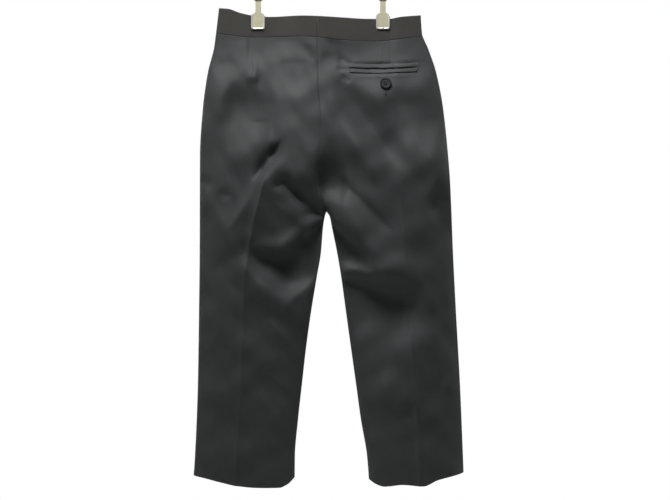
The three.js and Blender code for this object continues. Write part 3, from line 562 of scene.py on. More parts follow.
def cloth_depth(face, x, drop, inset, looks):
    """Depth of the cloth: pinched waist blended into the body, plus folds, crease and slight unevenness.

    Their sum stands up as it is, and sinks as room * tanh(sum / room), with the room a share of the depth."""
    left = x < along(CENTRE_SEAMS, "drop", face, drop)
    pinched = 1 - ease(*PINCH_DROPS, drop)

    def of_half(half):
        across = SIDE[half] * x
        bare = pinched * waist_depth(face, half, across, drop, inset)
        bare = bare + (1 - pinched) * body_depth(face, half, across, drop, inset)
        rise = along(CREASES[face], "drop", "riseLeft" if half == "left" else "riseRight", drop)
        return bare, rise * np.exp(-np.abs(across - crease_line(face, half, drop)) / CREASE_REACH)

    (bare_left, crease_left), (bare_right, crease_right) = of_half("left"), of_half("right")
    bare = np.where(left, bare_left, bare_right)
    height = looks.fold_strength * fold_height(FOLDS[face], x, drop)
    height = height + np.where(left, crease_left, crease_right)
    unevenness = UNEVEN_SHARE[face] * looks.unevenness / MM
    height = height + unevenness * undulation(x, drop, UNEVEN_SEED[face])
    room = np.maximum(0.01, SINK_SHARE * (bare + inset - CLOTH - HEM_EXTRA))
    folds = np.where(height < 0, room * np.tanh(height / room), height)
    calm = ease(0, FOLD_CLEAR, bare) * ease(*CALM_DROPS, drop)
    return bare + calm * folds


def cloth_point(face, x, drop, inset, lift, looks):
    """The point of the cloth across and down, on its outside or inset into it, in millimetres."""
    depth = cloth_depth(face, x, drop, inset, looks) + lift + SEAM_GAP / 2
    return np.stack(np.broadcast_arrays(x, OUTWARDS[face] * depth, WAIST_Z - drop), -1)


def fly_reach(drop):
    """How far the left front reaches past the centre seam."""
    return (FLY_LAP + SEAM_GAP / 2) * (1 - ease(FLY_END - FLY_TAPER, FLY_END, drop)) - SEAM_GAP / 2


def fly_lift(drop, across):
    """How far the lap is lifted off the right front."""
    faded = 1 - ease(FLY_END + FLY_TAPER / 2, FLY_END + 2 * FLY_TAPER, drop)
    return (CLOTH + LAP_GAP) * faded * (1 - ease(*LAP_RISE, across))


def edge_sink(distance, radius=EDGE_ROUND):
    """How far a rounded edge falls away: radius - sqrt(radius^2 - (radius - distance)^2) near the edge."""
    near = np.clip(radius - distance, 0, radius)
    return radius - np.sqrt(radius**2 - near**2)


def panel_grids(face, half, looks):
    """Outer and inner grid of a panel.

    Columns run from the centre seam or inseam over the crease to the side seam, spaced by sines so that they
    are closest where the cloth turns. Rows follow the waist seam and the hem."""
    inner_count, outer_count, row_count = GRID[face]
    inner_t, outer_t = np.linspace(0, 1, inner_count), np.linspace(0, 1, outer_count)[1:]
    inner_w = EVEN_SHARE * (1 - inner_t) + (1 - EVEN_SHARE) * (1 + np.cos(np.pi * inner_t)) / 2
    outer_w = EVEN_SHARE * outer_t + (1 - EVEN_SHARE) * (1 - np.cos(np.pi * outer_t)) / 2
    is_lap = face == "front" and half == "left"
    starts = FIRST_ROW + np.array(EDGE_ROWS)
    even = np.linspace(FIRST_ROW + EVEN_ROWS[0], LAST_ROW - EVEN_ROWS[1], row_count)
    hem_step = LAST_ROW - HEM_TURN_UP
    ends = LAST_ROW - np.array([*EDGE_ROWS, EVEN_ROWS[0]])
    row = np.unique(np.concatenate([starts, even, hem_step + np.array(TURN_UP_ROWS), ends]))[:, None]
    turned_up = ease(hem_step - TURN_UP_STEP, hem_step + TURN_UP_STEP, row)

    def across_of(drop, inset):
        line = crease_line(face, half, drop)
        closed = inner_end(face, half, drop) + inset
        cut = centre_seam(face, half, drop) + SEAM_GAP / 2
        end = np.where(drop < FORK_DROP, np.maximum(cut, closed), closed)
        full = np.arcsin(np.clip((line - end) / (line - closed), 0, 1))
        size = inner_w.size
        inner = line[:, :size] - (line - closed)[:, :size] * np.sin(full[:, :size] * inner_w)
        if is_lap:
            reach = fly_reach(drop)[:, :size] + SEAM_GAP / 2
            inner = inner - reach * (1 - ease(0, LAP_SPREAD, inner - end[:, :size]))
        side = side_seam(half, drop) - inset
        outer = line[:, size:] + (side - line)[:, size:] * np.sin(np.pi / 2 * outer_w)
        return np.concatenate([inner, outer], 1)

    columns = inner_w.size + outer_w.size
    drop = np.repeat(row, columns, 1)
    for _ in range(SETTLE_ROUNDS):
        across = across_of(drop, 0)
        top_shift = along(WAIST[face], "x", "seam", SIDE[half] * across) + SEAM_GAP / 2 - FIRST_ROW
        inseam = SIDE[half] * along(INSEAMS, "drop", half, drop)
        q = np.clip((across - inseam) / (side_seam(half, drop) - inseam), 0, 1)
        hem_shift = along(HEMS, "q", face + half.capitalize(), q) - LAST_ROW
        drop = row + top_shift * (1 - ease(FIRST_ROW, SHIFT_END, row))
        drop = drop + hem_shift * ease(SHIFT_START, LAST_ROW, row)

    def grid(inset, outward):
        across = across_of(drop, inset)
        lift = fly_lift(drop, across) if is_lap else 0
        rounded = edge_sink(LAST_ROW - row) + edge_sink(row - FIRST_ROW)
        seam_edge = np.where(drop < FORK_DROP - FORK_CLEAR, edge_sink(across - across[:, :1]), 0)
        lift = lift - outward * (rounded + (seam_edge if outward > 0 else 0))
        return cloth_point(face, SIDE[half] * across, drop, inset, lift, looks)

    outer = grid(np.zeros_like(drop), 1)
    inner = grid(CLOTH + HEM_EXTRA * turned_up + np.zeros_like(drop), -1)
    return outer, inner


# Meshes


def grid_quads(rows, columns, first=0):
    """Corner numbers of the quads of a grid of points."""
    r, c = np.meshgrid(np.arange(rows - 1), np.arange(columns - 1), indexing="ij")
    corner = first + r * columns + c
    return np.stack([corner, corner + columns, corner + columns + 1, corner + 1], -1).reshape(-1, 4)


def ring_quads(rings):
    """Quads between rings of point numbers, each ring ending on the number that it starts with."""
    return np.stack([rings[:-1, :-1], rings[:-1, 1:], rings[1:, 1:], rings[1:, :-1]], -1).reshape(-1, 4)


def strip_quads(first, second):
    """Quads between two equally long lines of points."""
    return np.stack([first[:-1], second[:-1], second[1:], first[1:]], -1)


def enclosed_volume(points, quads):
    """Sum of the tetrahedra from the origin to each half of each quad."""
    p = points[quads]
    first = np.einsum("ij,ij->i", p[:, 0], np.cross(p[:, 1], p[:, 2]))
    second = np.einsum("ij,ij->i", p[:, 0], np.cross(p[:, 2], p[:, 3]))
    return (first + second).sum() / 6


def make_object(name, points, quads, uv=None, material=None, smooth=50):
    """A mesh object from points in millimetres and quads, where two equal corners make a triangle."""
    mesh = bpy.data.meshes.new(name)
    repeated = quads == np.roll(quads, -1, axis=1)
    doubled = repeated.any(1)
    full = quads[~doubled]
    thin = quads[doubled][~repeated[doubled]].reshape(-1, 3)
    loops = np.concatenate([full.ravel(), thin.ravel()])
    starts = np.concatenate([np.arange(len(full)) * 4, 4 * len(full) + np.arange(len(thin)) * 3])
    mesh.vertices.add(len(points))
    mesh.vertices.foreach_set("co", (points * MM).ravel())
    mesh.loops.add(len(loops))
    mesh.loops.foreach_set("vertex_index", loops)
    mesh.polygons.add(len(starts))
    mesh.polygons.foreach_set("loop_start", starts)
    mesh.update(calc_edges=True)
    mesh.validate()
    if uv is not None:
        layer = mesh.uv_layers.new(name="Cloth")
        layer.data.foreach_set("uv", (uv[loops] * MM).ravel())
    mesh.shade_smooth()
    mesh.set_sharp_from_angle(angle=math.radians(smooth))
    piece = bpy.data.objects.new(name, mesh)
    bpy.context.scene.collection.objects.link(piece)
    if material is not None:
        mesh.materials.append(material)
    return piece


def lengths_across(grid):
    """Distance travelled along each row of a grid of points."""
    steps = np.linalg.norm(np.diff(grid, axis=1), axis=-1)
    return np.pad(np.cumsum(steps, 1), ((0, 0), (1, 0)))


def wall_object(name, outer, inner, material):
    """A closed wall between two grids, joined along all four edges.

    Its UV map is the outer grid's length across, from the middle column, and the height."""
    rows, columns = outer.shape[:2]
    count = rows * columns
    number = np.arange(count).reshape(rows, columns)
    quads = np.concatenate(
        [
            grid_quads(rows, columns),
            grid_quads(rows, columns, count)[:, ::-1],
            strip_quads(number[0], number[0] + count)[:, ::-1],
            strip_quads(number[-1], number[-1] + count),
            strip_quads(number[:, 0], number[:, 0] + count),
            strip_quads(number[:, -1], number[:, -1] + count)[:, ::-1],
        ]
    )
    points = np.concatenate([outer.reshape(-1, 3), inner.reshape(-1, 3)])
    if enclosed_volume(points, quads) < 0:
        quads = quads[:, ::-1]
    across = lengths_across(outer)
    across = across - across[:, columns // 2][:, None]
    uv = np.stack([across, outer[:, :, 2]], -1).reshape(-1, 2)
    return make_object(name, points, quads, np.concatenate([uv, uv]), material)


def tube_object(name, path, radii, material, sides=12, flat=1.0, closed=False, away=(0, -1, 0)):
    """A round section carried along a path, path + radius * (cos side + flat sin out).

    It is closed by a point at both ends unless the path itself is closed."""
    path = np.asarray(path, float)
    radii = np.broadcast_to(radii, len(path))
    ahead = np.roll(path, -1, 0) - np.roll(path, 1, 0) if closed else np.gradient(path, axis=0)
    ahead = ahead / np.linalg.norm(ahead, axis=1, keepdims=True)
    out = np.broadcast_to(np.asarray(away, float), path.shape)
    out = out - (out * ahead).sum(1, keepdims=True) * ahead
    out = out / np.linalg.norm(out, axis=1, keepdims=True)
    side = np.cross(ahead, out)
    turn = np.linspace(0, 2 * np.pi, sides, endpoint=False)
    ring = path[:, None] + radii[:, None, None] * (
        np.cos(turn)[None, :, None] * side[:, None] + flat * np.sin(turn)[None, :, None] * out[:, None]
    )
    rows = len(path)
    number = np.arange(rows * sides).reshape(rows, sides)
    around = np.concatenate([number, number[:, :1]], 1)
    if closed:
        around = np.concatenate([around, around[:1]], 0)
    quads = ring_quads(around)
    points = ring.reshape(-1, 3)
    if not closed:
        reach = TIP_REACH * radii[:, None] * ahead
        tips = np.stack([path[0] - reach[0], path[-1] + reach[-1]])
        points = np.concatenate([points, tips])
        low, high = rows * sides, rows * sides + 1
        first = np.stack([np.full(sides, low), np.full(sides, low), around[0, 1:], around[0, :-1]], -1)
        last = np.stack([np.full(sides, high), np.full(sides, high), around[-1, :-1], around[-1, 1:]], -1)
        quads = np.concatenate([quads, first, last])
    if enclosed_volume(points, quads) < 0:
        quads = quads[:, ::-1]
    return make_object(name, points, quads, None, material)


def join_objects(name, pieces):
    """One object from several, under a name of its own."""
    bpy.ops.object.select_all(action="DESELECT")
    for piece in pieces:
        piece.select_set(True)
    bpy.context.view_layer.objects.active = pieces[0]
    bpy.ops.object.join()
    joined = bpy.context.view_layer.objects.active
    joined.name = name
    return joined


def smooth_node(node, name, material, angle=35, bevel=0.0):
    """A frame node's copy, shown in its place: doubles merged, flats joined, rounds shaded smooth, edges
    bevelled."""
    mesh = frame["nodes"][node].data.copy()
    build = bmesh.new()
    build.from_mesh(mesh)
    flat = math.radians(FLAT_ANGLE)
    bmesh.ops.remove_doubles(build, verts=build.verts, dist=DOUBLE_GAP)
    bmesh.ops.dissolve_limit(build, angle_limit=flat, verts=build.verts, edges=build.edges)
    build.to_mesh(mesh)
    build.free()
    mesh.shade_smooth()
    mesh.set_sharp_from_angle(angle=math.radians(angle))
    mesh.materials.clear()
    mesh.materials.append(material)
    piece = bpy.data.objects.new(name, mesh)
    bpy.context.scene.collection.objects.link(piece)
    if bevel:
        edge = piece.modifiers.new("Edges", "BEVEL")
        edge.width = bevel * MM
        edge.segments = BEVEL_SEGMENTS
        edge.angle_limit = math.radians(BEVEL_ANGLE)
        edge.harden_normals = True
    return dress(piece, slot_of(node), node)


def slot_of(node):
    """The record's material slot of a node."""
    return {part["node"]: part["material_slot"] for part in frame["record"]["subparts"]}[node]


def dress(piece, slot, *nodes):
    """Puts a piece on the garment's one body and lets it stand for frame nodes, which it hides. The slot is
    not used.
    """
    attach(piece, "root")
    if nodes:
        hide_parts(*nodes)
    return piece


# Materials


def new_group(name, inputs, outputs):
    """A shader node group with its sockets, and its input and output nodes."""
    group = bpy.data.node_groups.new(name, "ShaderNodeTree")
    for label, kind, default in inputs:
        socket = group.interface.new_socket(label, in_out="INPUT", socket_type=kind)
        if default is not None:
            socket.default_value = default
    for label, kind in outputs:
        group.interface.new_socket(label, in_out="OUTPUT", socket_type=kind)
    entry = group.nodes.new("NodeGroupInput")
    out = group.nodes.new("NodeGroupOutput")
    return group, entry, out


def add_node(tree, kind, settings=None, **inputs):
    """A node with its settings, and its inputs set to values or linked to sockets."""
    node = tree.nodes.new(kind)
    for key, value in (settings or {}).items():
        setattr(node, key, value)
    for key, value in inputs.items():
        socket = node.inputs[int(key[1:])] if key[0] == "i" and key[1:].isdigit() else node.inputs[key]
        if isinstance(value, bpy.types.NodeSocket):
            tree.links.new(value, socket)
        else:
            socket.default_value = value
    return node


def math_node(tree, operation, *values):
    """A math node's result."""
    inputs = {f"i{k}": v for k, v in enumerate(values)}
    return add_node(tree, "ShaderNodeMath", {"operation": operation}, **inputs).outputs[0]


def twill_group():
    """Twill: diagonal ribs crossed by a finer yarn, with slubs, as a height and a shade around 1."""
    inputs = [("Vector", "NodeSocketVector", None), ("Pitch", "NodeSocketFloat", 0.0007)]
    outputs = [("Height", "NodeSocketFloat"), ("Shade", "NodeSocketFloat")]
    group, entry, out = new_group("Twill weave", inputs, outputs)
    parts = add_node(group, "ShaderNodeSeparateXYZ", Vector=entry.outputs["Vector"])
    frequency = math_node(group, "DIVIDE", 2 * math.pi, entry.outputs["Pitch"])
    diagonal = math_node(group, "ADD", parts.outputs[0], math_node(group, "MULTIPLY", parts.outputs[1], 1.4))
    ribs = math_node(group, "SINE", math_node(group, "MULTIPLY", diagonal, frequency))
    crossing = math_node(group, "SUBTRACT", parts.outputs[0], parts.outputs[1])
    finer = math_node(group, "MULTIPLY", frequency, 1.6)
    yarn = math_node(group, "SINE", math_node(group, "MULTIPLY", crossing, finer))
    slubs = add_node(group, "ShaderNodeTexNoise", Vector=entry.outputs["Vector"], Scale=900, Detail=3)
    low_yarn = math_node(group, "MULTIPLY", yarn, 0.25)
    woven = math_node(group, "ADD", math_node(group, "MULTIPLY", ribs, 0.6), low_yarn)
    height = math_node(group, "ADD", woven, slubs.outputs["Fac"])
    group.links.new(height, out.inputs["Height"])
    patches = add_node(group, "ShaderNodeTexNoise", Vector=entry.outputs["Vector"], Scale=26, Detail=4)
    shade = math_node(group, "ADD", math_node(group, "MULTIPLY", patches.outputs["Fac"], 0.5), 0.75)
    grained = math_node(group, "ADD", shade, math_node(group, "MULTIPLY", slubs.outputs["Fac"], 0.3))
    group.links.new(math_node(group, "SUBTRACT", grained, 0.15), out.inputs["Shade"])
    return group


def brushed_group():
    """Brushed or plated metal: fine scratches and slow smudges, as a mask around 0.5 and a height."""
    inputs = [("Vector", "NodeSocketVector", None), ("Stretch", "NodeSocketFloat", 12.0)]
    outputs = [("Mask", "NodeSocketFloat"), ("Height", "NodeSocketFloat")]
    group, entry, out = new_group("Plated wear", inputs, outputs)
    parts = add_node(group, "ShaderNodeSeparateXYZ", Vector=entry.outputs["Vector"])
    long_way = math_node(group, "DIVIDE", parts.outputs[2], entry.outputs["Stretch"])
    drawn = add_node(group, "ShaderNodeCombineXYZ", X=parts.outputs[0], Y=parts.outputs[1], Z=long_way)
    scratches = add_node(group, "ShaderNodeTexNoise", Vector=drawn.outputs[0], Scale=2400, Detail=4)
    smudges = add_node(group, "ShaderNodeTexNoise", Vector=entry.outputs["Vector"], Scale=140, Detail=3)
    mask = math_node(
        group, "ADD",
        math_node(group, "MULTIPLY", scratches.outputs["Fac"], 0.4),
        math_node(group, "MULTIPLY", smudges.outputs["Fac"], 0.6),
    )
    group.links.new(mask, out.inputs["Mask"])
    group.links.new(scratches.outputs["Fac"], out.inputs["Height"])
    return group


def shared_group(name, build):
    """A node group by name, built the first time."""
    return bpy.data.node_groups.get(name) or build()


def new_material(name):
    """A node material with its Principled shader."""
    material = bpy.data.materials.new(name)
    material.use_nodes = True
    return material, material.node_tree, material.node_tree.nodes["Principled BSDF"]


def tinted(tree, colour, shade):
    """A colour multiplied by a shade that changes over the surface."""
    mix = add_node(tree, "ShaderNodeVectorMath", {"operation": "SCALE"}, i0=tuple(colour), Scale=shade)
    return mix.outputs[0]


def cloth_material(name, colour, pitch, roughness, sheen, relief):
    """Worsted twill on the piece's own UV map, with a soft sheen."""
    material, tree, shader = new_material(name)
    uv = add_node(tree, "ShaderNodeUVMap", {"uv_map": "Cloth"})
    weave = add_node(tree, "ShaderNodeGroup", {"node_tree": shared_group("Twill weave", twill_group)})
    tree.links.new(uv.outputs[0], weave.inputs["Vector"])
    weave.inputs["Pitch"].default_value = pitch
    tree.links.new(tinted(tree, colour, weave.outputs["Shade"]), shader.inputs["Base Color"])
    bump = add_node(tree, "ShaderNodeBump", Height=weave.outputs["Height"], Strength=relief, Distance=0.0002)
    tree.links.new(bump.outputs[0], shader.inputs["Normal"])
    shader.inputs["Roughness"].default_value = roughness
    shader.inputs["Sheen Weight"].default_value = sheen
    shader.inputs["Sheen Roughness"].default_value = 0.45
    shader.inputs["Specular IOR Level"].default_value = 0.4
    return material


def metal_material(name, colour, roughness, metallic, relief):
    """Plated steel with scratches drawn down its length."""
    material, tree, shader = new_material(name)
    place = add_node(tree, "ShaderNodeTexCoord")
    wear = add_node(tree, "ShaderNodeGroup", {"node_tree": shared_group("Plated wear", brushed_group)})
    tree.links.new(place.outputs["Object"], wear.inputs["Vector"])
    shade = math_node(tree, "ADD", math_node(tree, "MULTIPLY", wear.outputs["Mask"], 0.2), 0.9)
    tree.links.new(tinted(tree, colour, shade), shader.inputs["Base Color"])
    rough = math_node(tree, "ADD", math_node(tree, "MULTIPLY", wear.outputs["Mask"], 0.24), roughness - 0.12)
    tree.links.new(rough, shader.inputs["Roughness"])
    bump = add_node(tree, "ShaderNodeBump", Height=wear.outputs["Height"], Strength=relief, Distance=0.00004)
    tree.links.new(bump.outputs[0], shader.inputs["Normal"])
    shader.inputs["Metallic"].default_value = metallic
    return material


def horn_material(name, colour):
    """Moulded button: dark swirls, satin gloss and a fine grain."""
    material, tree, shader = new_material(name)
    place = add_node(tree, "ShaderNodeTexCoord")
    vector = place.outputs["Object"]
    swirl = add_node(tree, "ShaderNodeTexNoise", Vector=vector, Scale=260, Detail=5, Distortion=1.6)
    shade = math_node(tree, "ADD", math_node(tree, "MULTIPLY", swirl.outputs["Fac"], 0.9), 0.55)
    tree.links.new(tinted(tree, colour, shade), shader.inputs["Base Color"])
    rough = math_node(tree, "ADD", math_node(tree, "MULTIPLY", swirl.outputs["Fac"], 0.15), 0.38)
    shader.inputs["Specular IOR Level"].default_value = 0.18
    tree.links.new(rough, shader.inputs["Roughness"])
    grain = add_node(tree, "ShaderNodeTexNoise", Vector=vector, Scale=3000, Detail=2)
    bump = add_node(tree, "ShaderNodeBump", Height=grain.outputs["Fac"], Strength=0.15, Distance=0.00005)
    tree.links.new(bump.outputs[0], shader.inputs["Normal"])
    return material


def thread_material(name, colour):
    """Sewing thread: twisted strands seen as slanted stripes."""
    material, tree, shader = new_material(name)
    place = add_node(tree, "ShaderNodeTexCoord")
    parts = add_node(tree, "ShaderNodeSeparateXYZ", Vector=place.outputs["Object"])
    slant = math_node(tree, "ADD", parts.outputs[0], parts.outputs[2])
    stripes = math_node(tree, "SINE", math_node(tree, "MULTIPLY", slant, 2 * math.pi / 0.00045))
    shade = math_node(tree, "ADD", math_node(tree, "MULTIPLY", stripes, 0.18), 1.0)
    tree.links.new(tinted(tree, colour, shade), shader.inputs["Base Color"])
    bump = add_node(tree, "ShaderNodeBump", Height=stripes, Strength=0.4, Distance=0.0001)
    tree.links.new(bump.outputs[0], shader.inputs["Normal"])
    shader.inputs["Roughness"].default_value = 0.7
    return material


def floor_material(name, colour):
    """Plain pale paper with a barely uneven shade."""
    material, tree, shader = new_material(name)
    place = add_node(tree, "ShaderNodeTexCoord")
    grain = add_node(tree, "ShaderNodeTexNoise", Vector=place.outputs["Object"], Scale=3, Detail=2)
    shade = math_node(tree, "ADD", math_node(tree, "MULTIPLY", grain.outputs["Fac"], 0.04), 0.98)
    tree.links.new(tinted(tree, colour, shade), shader.inputs["Base Color"])
    shader.inputs["Roughness"].default_value = 0.9
    return material


# Settings


class TrousersCloth(bpy.types.PropertyGroup):
    """The cloth's colours, weave and folds."""

    colour: FloatVectorProperty(
        name="Cloth colour", description="Colour of the trousers' twill", subtype="COLOR", size=3,
        min=0, max=1, default=(0.052, 0.056, 0.057),
    )
    band_colour: FloatVectorProperty(
        name="Waistband colour", description="Colour of the matte waistband", subtype="COLOR", size=3,
        min=0, max=1, default=(0.064, 0.0625, 0.0565),
    )
    twill_pitch: FloatProperty(
        name="Twill pitch", description="Distance between two ribs of the twill", unit="LENGTH",
        default=0.0011,
    )
    fold_strength: FloatProperty(
        name="Fold strength", description="Share of the small folds' height that shows", subtype="FACTOR",
        min=0, max=1.5, default=1.0,
    )
    unevenness: FloatProperty(
        name="Unevenness", description="Height of the cloth's slow undulation", unit="LENGTH", default=0.0022,
    )


class TrousersHardware(bpy.types.PropertyGroup):
    """The colours of buttons, thread, clips and wire."""

    button_colour: FloatVectorProperty(
        name="Button colour", description="Colour of the moulded buttons", subtype="COLOR", size=3,
        min=0, max=1, default=(0.02, 0.021, 0.024),
    )
    thread_colour: FloatVectorProperty(
        name="Thread colour", description="Colour of the sewing thread", subtype="COLOR", size=3,
        min=0, max=1, default=(0.03, 0.032, 0.034),
    )
    clip_colour: FloatVectorProperty(
        name="Clip colour", description="Colour of the clips' faces", subtype="COLOR", size=3,
        min=0, max=1, default=(0.78, 0.75, 0.54),
    )
    rim_colour: FloatVectorProperty(
        name="Rim colour", description="Colour of the clips' raised rims", subtype="COLOR", size=3,
        min=0, max=1, default=(0.95, 0.95, 0.93),
    )
    wire_colour: FloatVectorProperty(
        name="Wire colour", description="Colour of the hanger's wire", subtype="COLOR", size=3,
        min=0, max=1, default=(0.62, 0.61, 0.58),
    )


class TrousersStudio(bpy.types.PropertyGroup):
    """The floor's colour and the lights' power."""

    floor_colour: FloatVectorProperty(
        name="Floor colour", description="Colour of the pale floor", subtype="COLOR", size=3,
        min=0, max=1, default=(0.86, 0.86, 0.85),
    )
    key_power: FloatProperty(
        name="Key light", description="Power of the light above the seat", unit="POWER", default=3.5,
    )
    fill_power: FloatProperty(
        name="Fill light", description="Power of the wide light in front", unit="POWER", default=0.3,
    )
    side_power: FloatProperty(
        name="Side lights", description="Power of each of the two tall lights at the sides", unit="POWER",
        default=1.35,
    )
    around: FloatProperty(
        name="Room light", description="Strength of the light from all round", subtype="FACTOR",
        min=0, max=2, default=0.05,
    )


# Pieces


def cloth_finish():
    """The trousers' twill."""
    looks = bpy.context.scene.trousers_cloth
    return bpy.data.materials.get("Charcoal twill") or cloth_material(
        "Charcoal twill", looks.colour, looks.twill_pitch, roughness=0.58, sheen=0.2, relief=0.3
    )


def band_finish():
    """The waistband's matte cloth."""
    looks = bpy.context.scene.trousers_cloth
    return bpy.data.materials.get("Matte waistband") or cloth_material(
        "Matte waistband", looks.band_colour, looks.twill_pitch * 0.8, roughness=0.9, sheen=0.1, relief=0.5
    )


def lining_and_shade_finish():
    """The pocket's lining, near black: painted shade in the slit and the buttonhole's cut."""
    # Near black: painted shade for the slit and the buttonhole's cut
    return bpy.data.materials.get("Pocket lining in painted shade") or cloth_material(
        "Pocket lining in painted shade", (0.004, 0.004, 0.005), 0.0006, roughness=0.95, sheen=0.0, relief=0.3
    )


def thread_finish():
    """The sewing thread."""
    colour = bpy.context.scene.trousers_hardware.thread_colour
    return bpy.data.materials.get("Sewing thread") or thread_material("Sewing thread", colour)


class TROUSERS_OT_panels(bpy.types.Operator):
    """Make the two backs and two fronts, with their folds, pressed creases, darts and turned-up hems"""

    bl_idname = "trousers.panels"
    bl_label = "Backs and fronts"

    def execute(self, context):
        looks = context.scene.trousers_cloth
        for face in ("back", "front"):
            for half in ("left", "right"):
                node = f"{face}_{half}"
                outer, inner = panel_grids(face, half, looks)
                piece = wall_object(f"{node}_cloth", outer, inner, cloth_finish())
                dress(piece, "cloth", node)
        return {"FINISHED"}


def band_columns(with_tab):
    """Zone of each column, from the tab and up to the clip to under it and round the side, and its share of
    that zone's width. Round the side, the shares are the sine of a quarter turn to a power."""
    quarter = np.linspace(0, np.pi / 2, BAND_COLUMNS["fold"])[1:]
    places = {
        "tab": TAB_PLACES if with_tab else np.array([]),
        "reach": np.linspace(0, 1, BAND_COLUMNS["reach"]),
        "under": np.linspace(0, 1, BAND_COLUMNS["under"])[1:],
        "fold": np.sin(quarter) ** BAND_FOLD_SPACING,
    }
    zones = np.concatenate([np.full(t.size, zone) for zone, t in places.items()])
    return zones, np.concatenate(list(places.values()))


def band_across(face, half, zones, t, drop, inset):
    """Place across of each column: each zone's start plus its width times the column's share."""
    seam = centre_seam(face, half, drop) + SEAM_GAP / 2
    clip_start = abs(CLIP_X[half]) - PINCH_HALF_WIDTH
    clip_end = clip_start + 2 * PINCH_HALF_WIDTH
    tab = seam - TAB_LAP * (1 - t)
    reach = seam + (clip_start - seam) * t
    under = clip_start + (clip_end - clip_start) * t
    fold = clip_end + (side_seam(half, drop) - inset - clip_end) * t
    return np.select([zones == "tab", zones == "reach", zones == "under"], [tab, reach, under], fold)


def band_surface(face, half, inset, outward):
    """Half the waistband on one face: the pinched depth, lifted where the tab laps over the other half.

    Its edges are rounded. The rounding and the unevenness fade out where the two faces meet at the side."""
    with_tab = face == "front" and half == "left"
    zones, t = band_columns(with_tab)
    level = BAND_LEVELS[:, None]
    drop = np.repeat(level * FIRST_ROW, t.size, 1)
    for _ in range(SETTLE_ROUNDS):
        across = band_across(face, half, zones, t, drop, inset)
        top = along(WAIST[face], "x", "top", SIDE[half] * across)
        seam = along(WAIST[face], "x", "seam", SIDE[half] * across) - SEAM_GAP / 2
        drop = top + (seam - top) * level
    depth = waist_depth(face, half, across, drop, inset)
    if with_tab:
        depth = depth + (BAND_WALL + LAP_GAP) * (1 - ease(*LAP_RISE, across))
    height = seam - top
    rounded = edge_sink(level * height, BAND_EDGE_ROUND) + edge_sink((1 - level) * height, BAND_EDGE_ROUND)
    rounded = rounded + edge_sink(across - across[:, :1], BAND_EDGE_ROUND)
    fading = np.clip(depth / BAND_FADE_DEPTH, 0, 1)
    x = SIDE[half] * across
    uneven = undulation(x * BAND_UNEVEN_SCALE, drop * BAND_UNEVEN_SCALE, UNEVEN_SEED["band"])
    depth = depth + fading * (BAND_UNEVEN * uneven - outward * rounded)
    return np.stack([x, OUTWARDS[face] * depth, WAIST_Z - drop], -1)


def band_grid(half, inset, outward):
    """Grid of half the waistband, from the centre back round the side to the centre front."""
    back = band_surface("back", half, inset, outward)
    front = band_surface("front", half, inset, outward)
    return np.concatenate([back, front[:, ::-1][:, 1:]], 1)


class TROUSERS_OT_waistband(bpy.types.Operator):
    """Make the two halves of the waistband, joined at the centre back"""

    bl_idname = "trousers.waistband"
    bl_label = "Waistband"

    def execute(self, context):
        for half in ("left", "right"):
            outer, inner = band_grid(half, 0, 1), band_grid(half, BAND_WALL, -1)
            piece = wall_object(f"waistband_{half}_cloth", outer, inner, band_finish())
            dress(piece, "band_cloth", f"waistband_{half}")
        return {"FINISHED"}


def pocket_drop(t):
    """Drop of the slit's middle line, with its sag, at a share t of the pocket's width."""
    sag = POCKET["sag"] * (1 - (2 * t - 1) ** 2) - POCKET["sag"] / 2
    return POCKET["drop"] + POCKET["tilt"] * (t - 0.5) + sag


def welt_grids(above, looks):
    """A rounded strip on the cloth beside the slit: thickness * (1 - (2 s - 1)^4)^(1/2) over its width, and
    rounded by a circle at its ends.

    Its edge at the slit bows away by 1 - (2 t - 1)^6 and wavers by two sines."""
    rows, columns = WELT_GRID
    t = np.linspace(0, 1, columns)[None, :]
    s = (1 - np.cos(np.linspace(0, np.pi, rows)))[:, None] / 2
    phases = WELT_WAVES["upper" if above else "lower"]
    waves = zip(WELT_WAVES["height"], WELT_WAVES["turns"], phases)
    wave = sum(height * np.sin(t * turns + phase) for height, turns, phase in waves)
    near = WELT["mouth"] * POCKET["slit"] * (1 - (2 * t - 1) ** 6) + wave * (1 - (2 * t - 1) ** 4)
    offset = near + (WELT["width"] + POCKET["slit"] / 2 - near) * s
    drop = pocket_drop(t) + (-1 if above else 1) * offset
    width = POCKET["right"] - POCKET["left"]
    x = POCKET["left"] + width * t + 0 * s
    ends = np.clip(np.minimum(t, 1 - t) * width / WELT["end_round"], 0, 1)
    body = np.sqrt(np.clip(1 - (2 * s - 1) ** 4, 0, 1)) * np.sqrt(np.clip(1 - (1 - ends) ** 2, 0, 1))
    base = cloth_point("back", x, drop, 0, LYING_GAP, looks)
    top = cloth_point("back", x, drop, 0, LYING_GAP + WELT["edge"] + WELT["thick"] * body, looks)
    return top, base


def lining_shade_grids(looks):
    """The lining seen in the slit, in near-black painted shade: a low strip along its line, rise * (1 - s^4)
    high over its width.
    """
    rows, columns = LINING_GRID
    t = np.linspace(LINING_SHADE["end"], 1 - LINING_SHADE["end"], columns)[None, :]
    s = np.linspace(-1, 1, rows)[:, None]
    x = POCKET["left"] + (POCKET["right"] - POCKET["left"]) * t + 0 * s
    drop = pocket_drop(t) + LINING_SHADE["half_height"] * s
    top = cloth_point("back", x, drop, 0, LYING_GAP + LINING_SHADE["rise"] * (1 - s**4), looks)
    return top, cloth_point("back", x, drop, 0, LINING_SHADE["gap"], looks)


def bar_tack(x, drop, looks):
    """A short upright bar of thread across the slit's end, whose radius wavers by a sine along it."""
    d = np.linspace(-TACK["half_height"], TACK["half_height"], TACK_POINTS) + drop
    path = cloth_point("back", np.full_like(d, x), d, 0, TACK["lift"], looks)
    radii = TACK["radius"] + TACK["uneven"] * np.sin(np.arange(TACK_POINTS) * TACK_TURN)
    return tube_object("tack", path, radii, thread_finish(), sides=10)


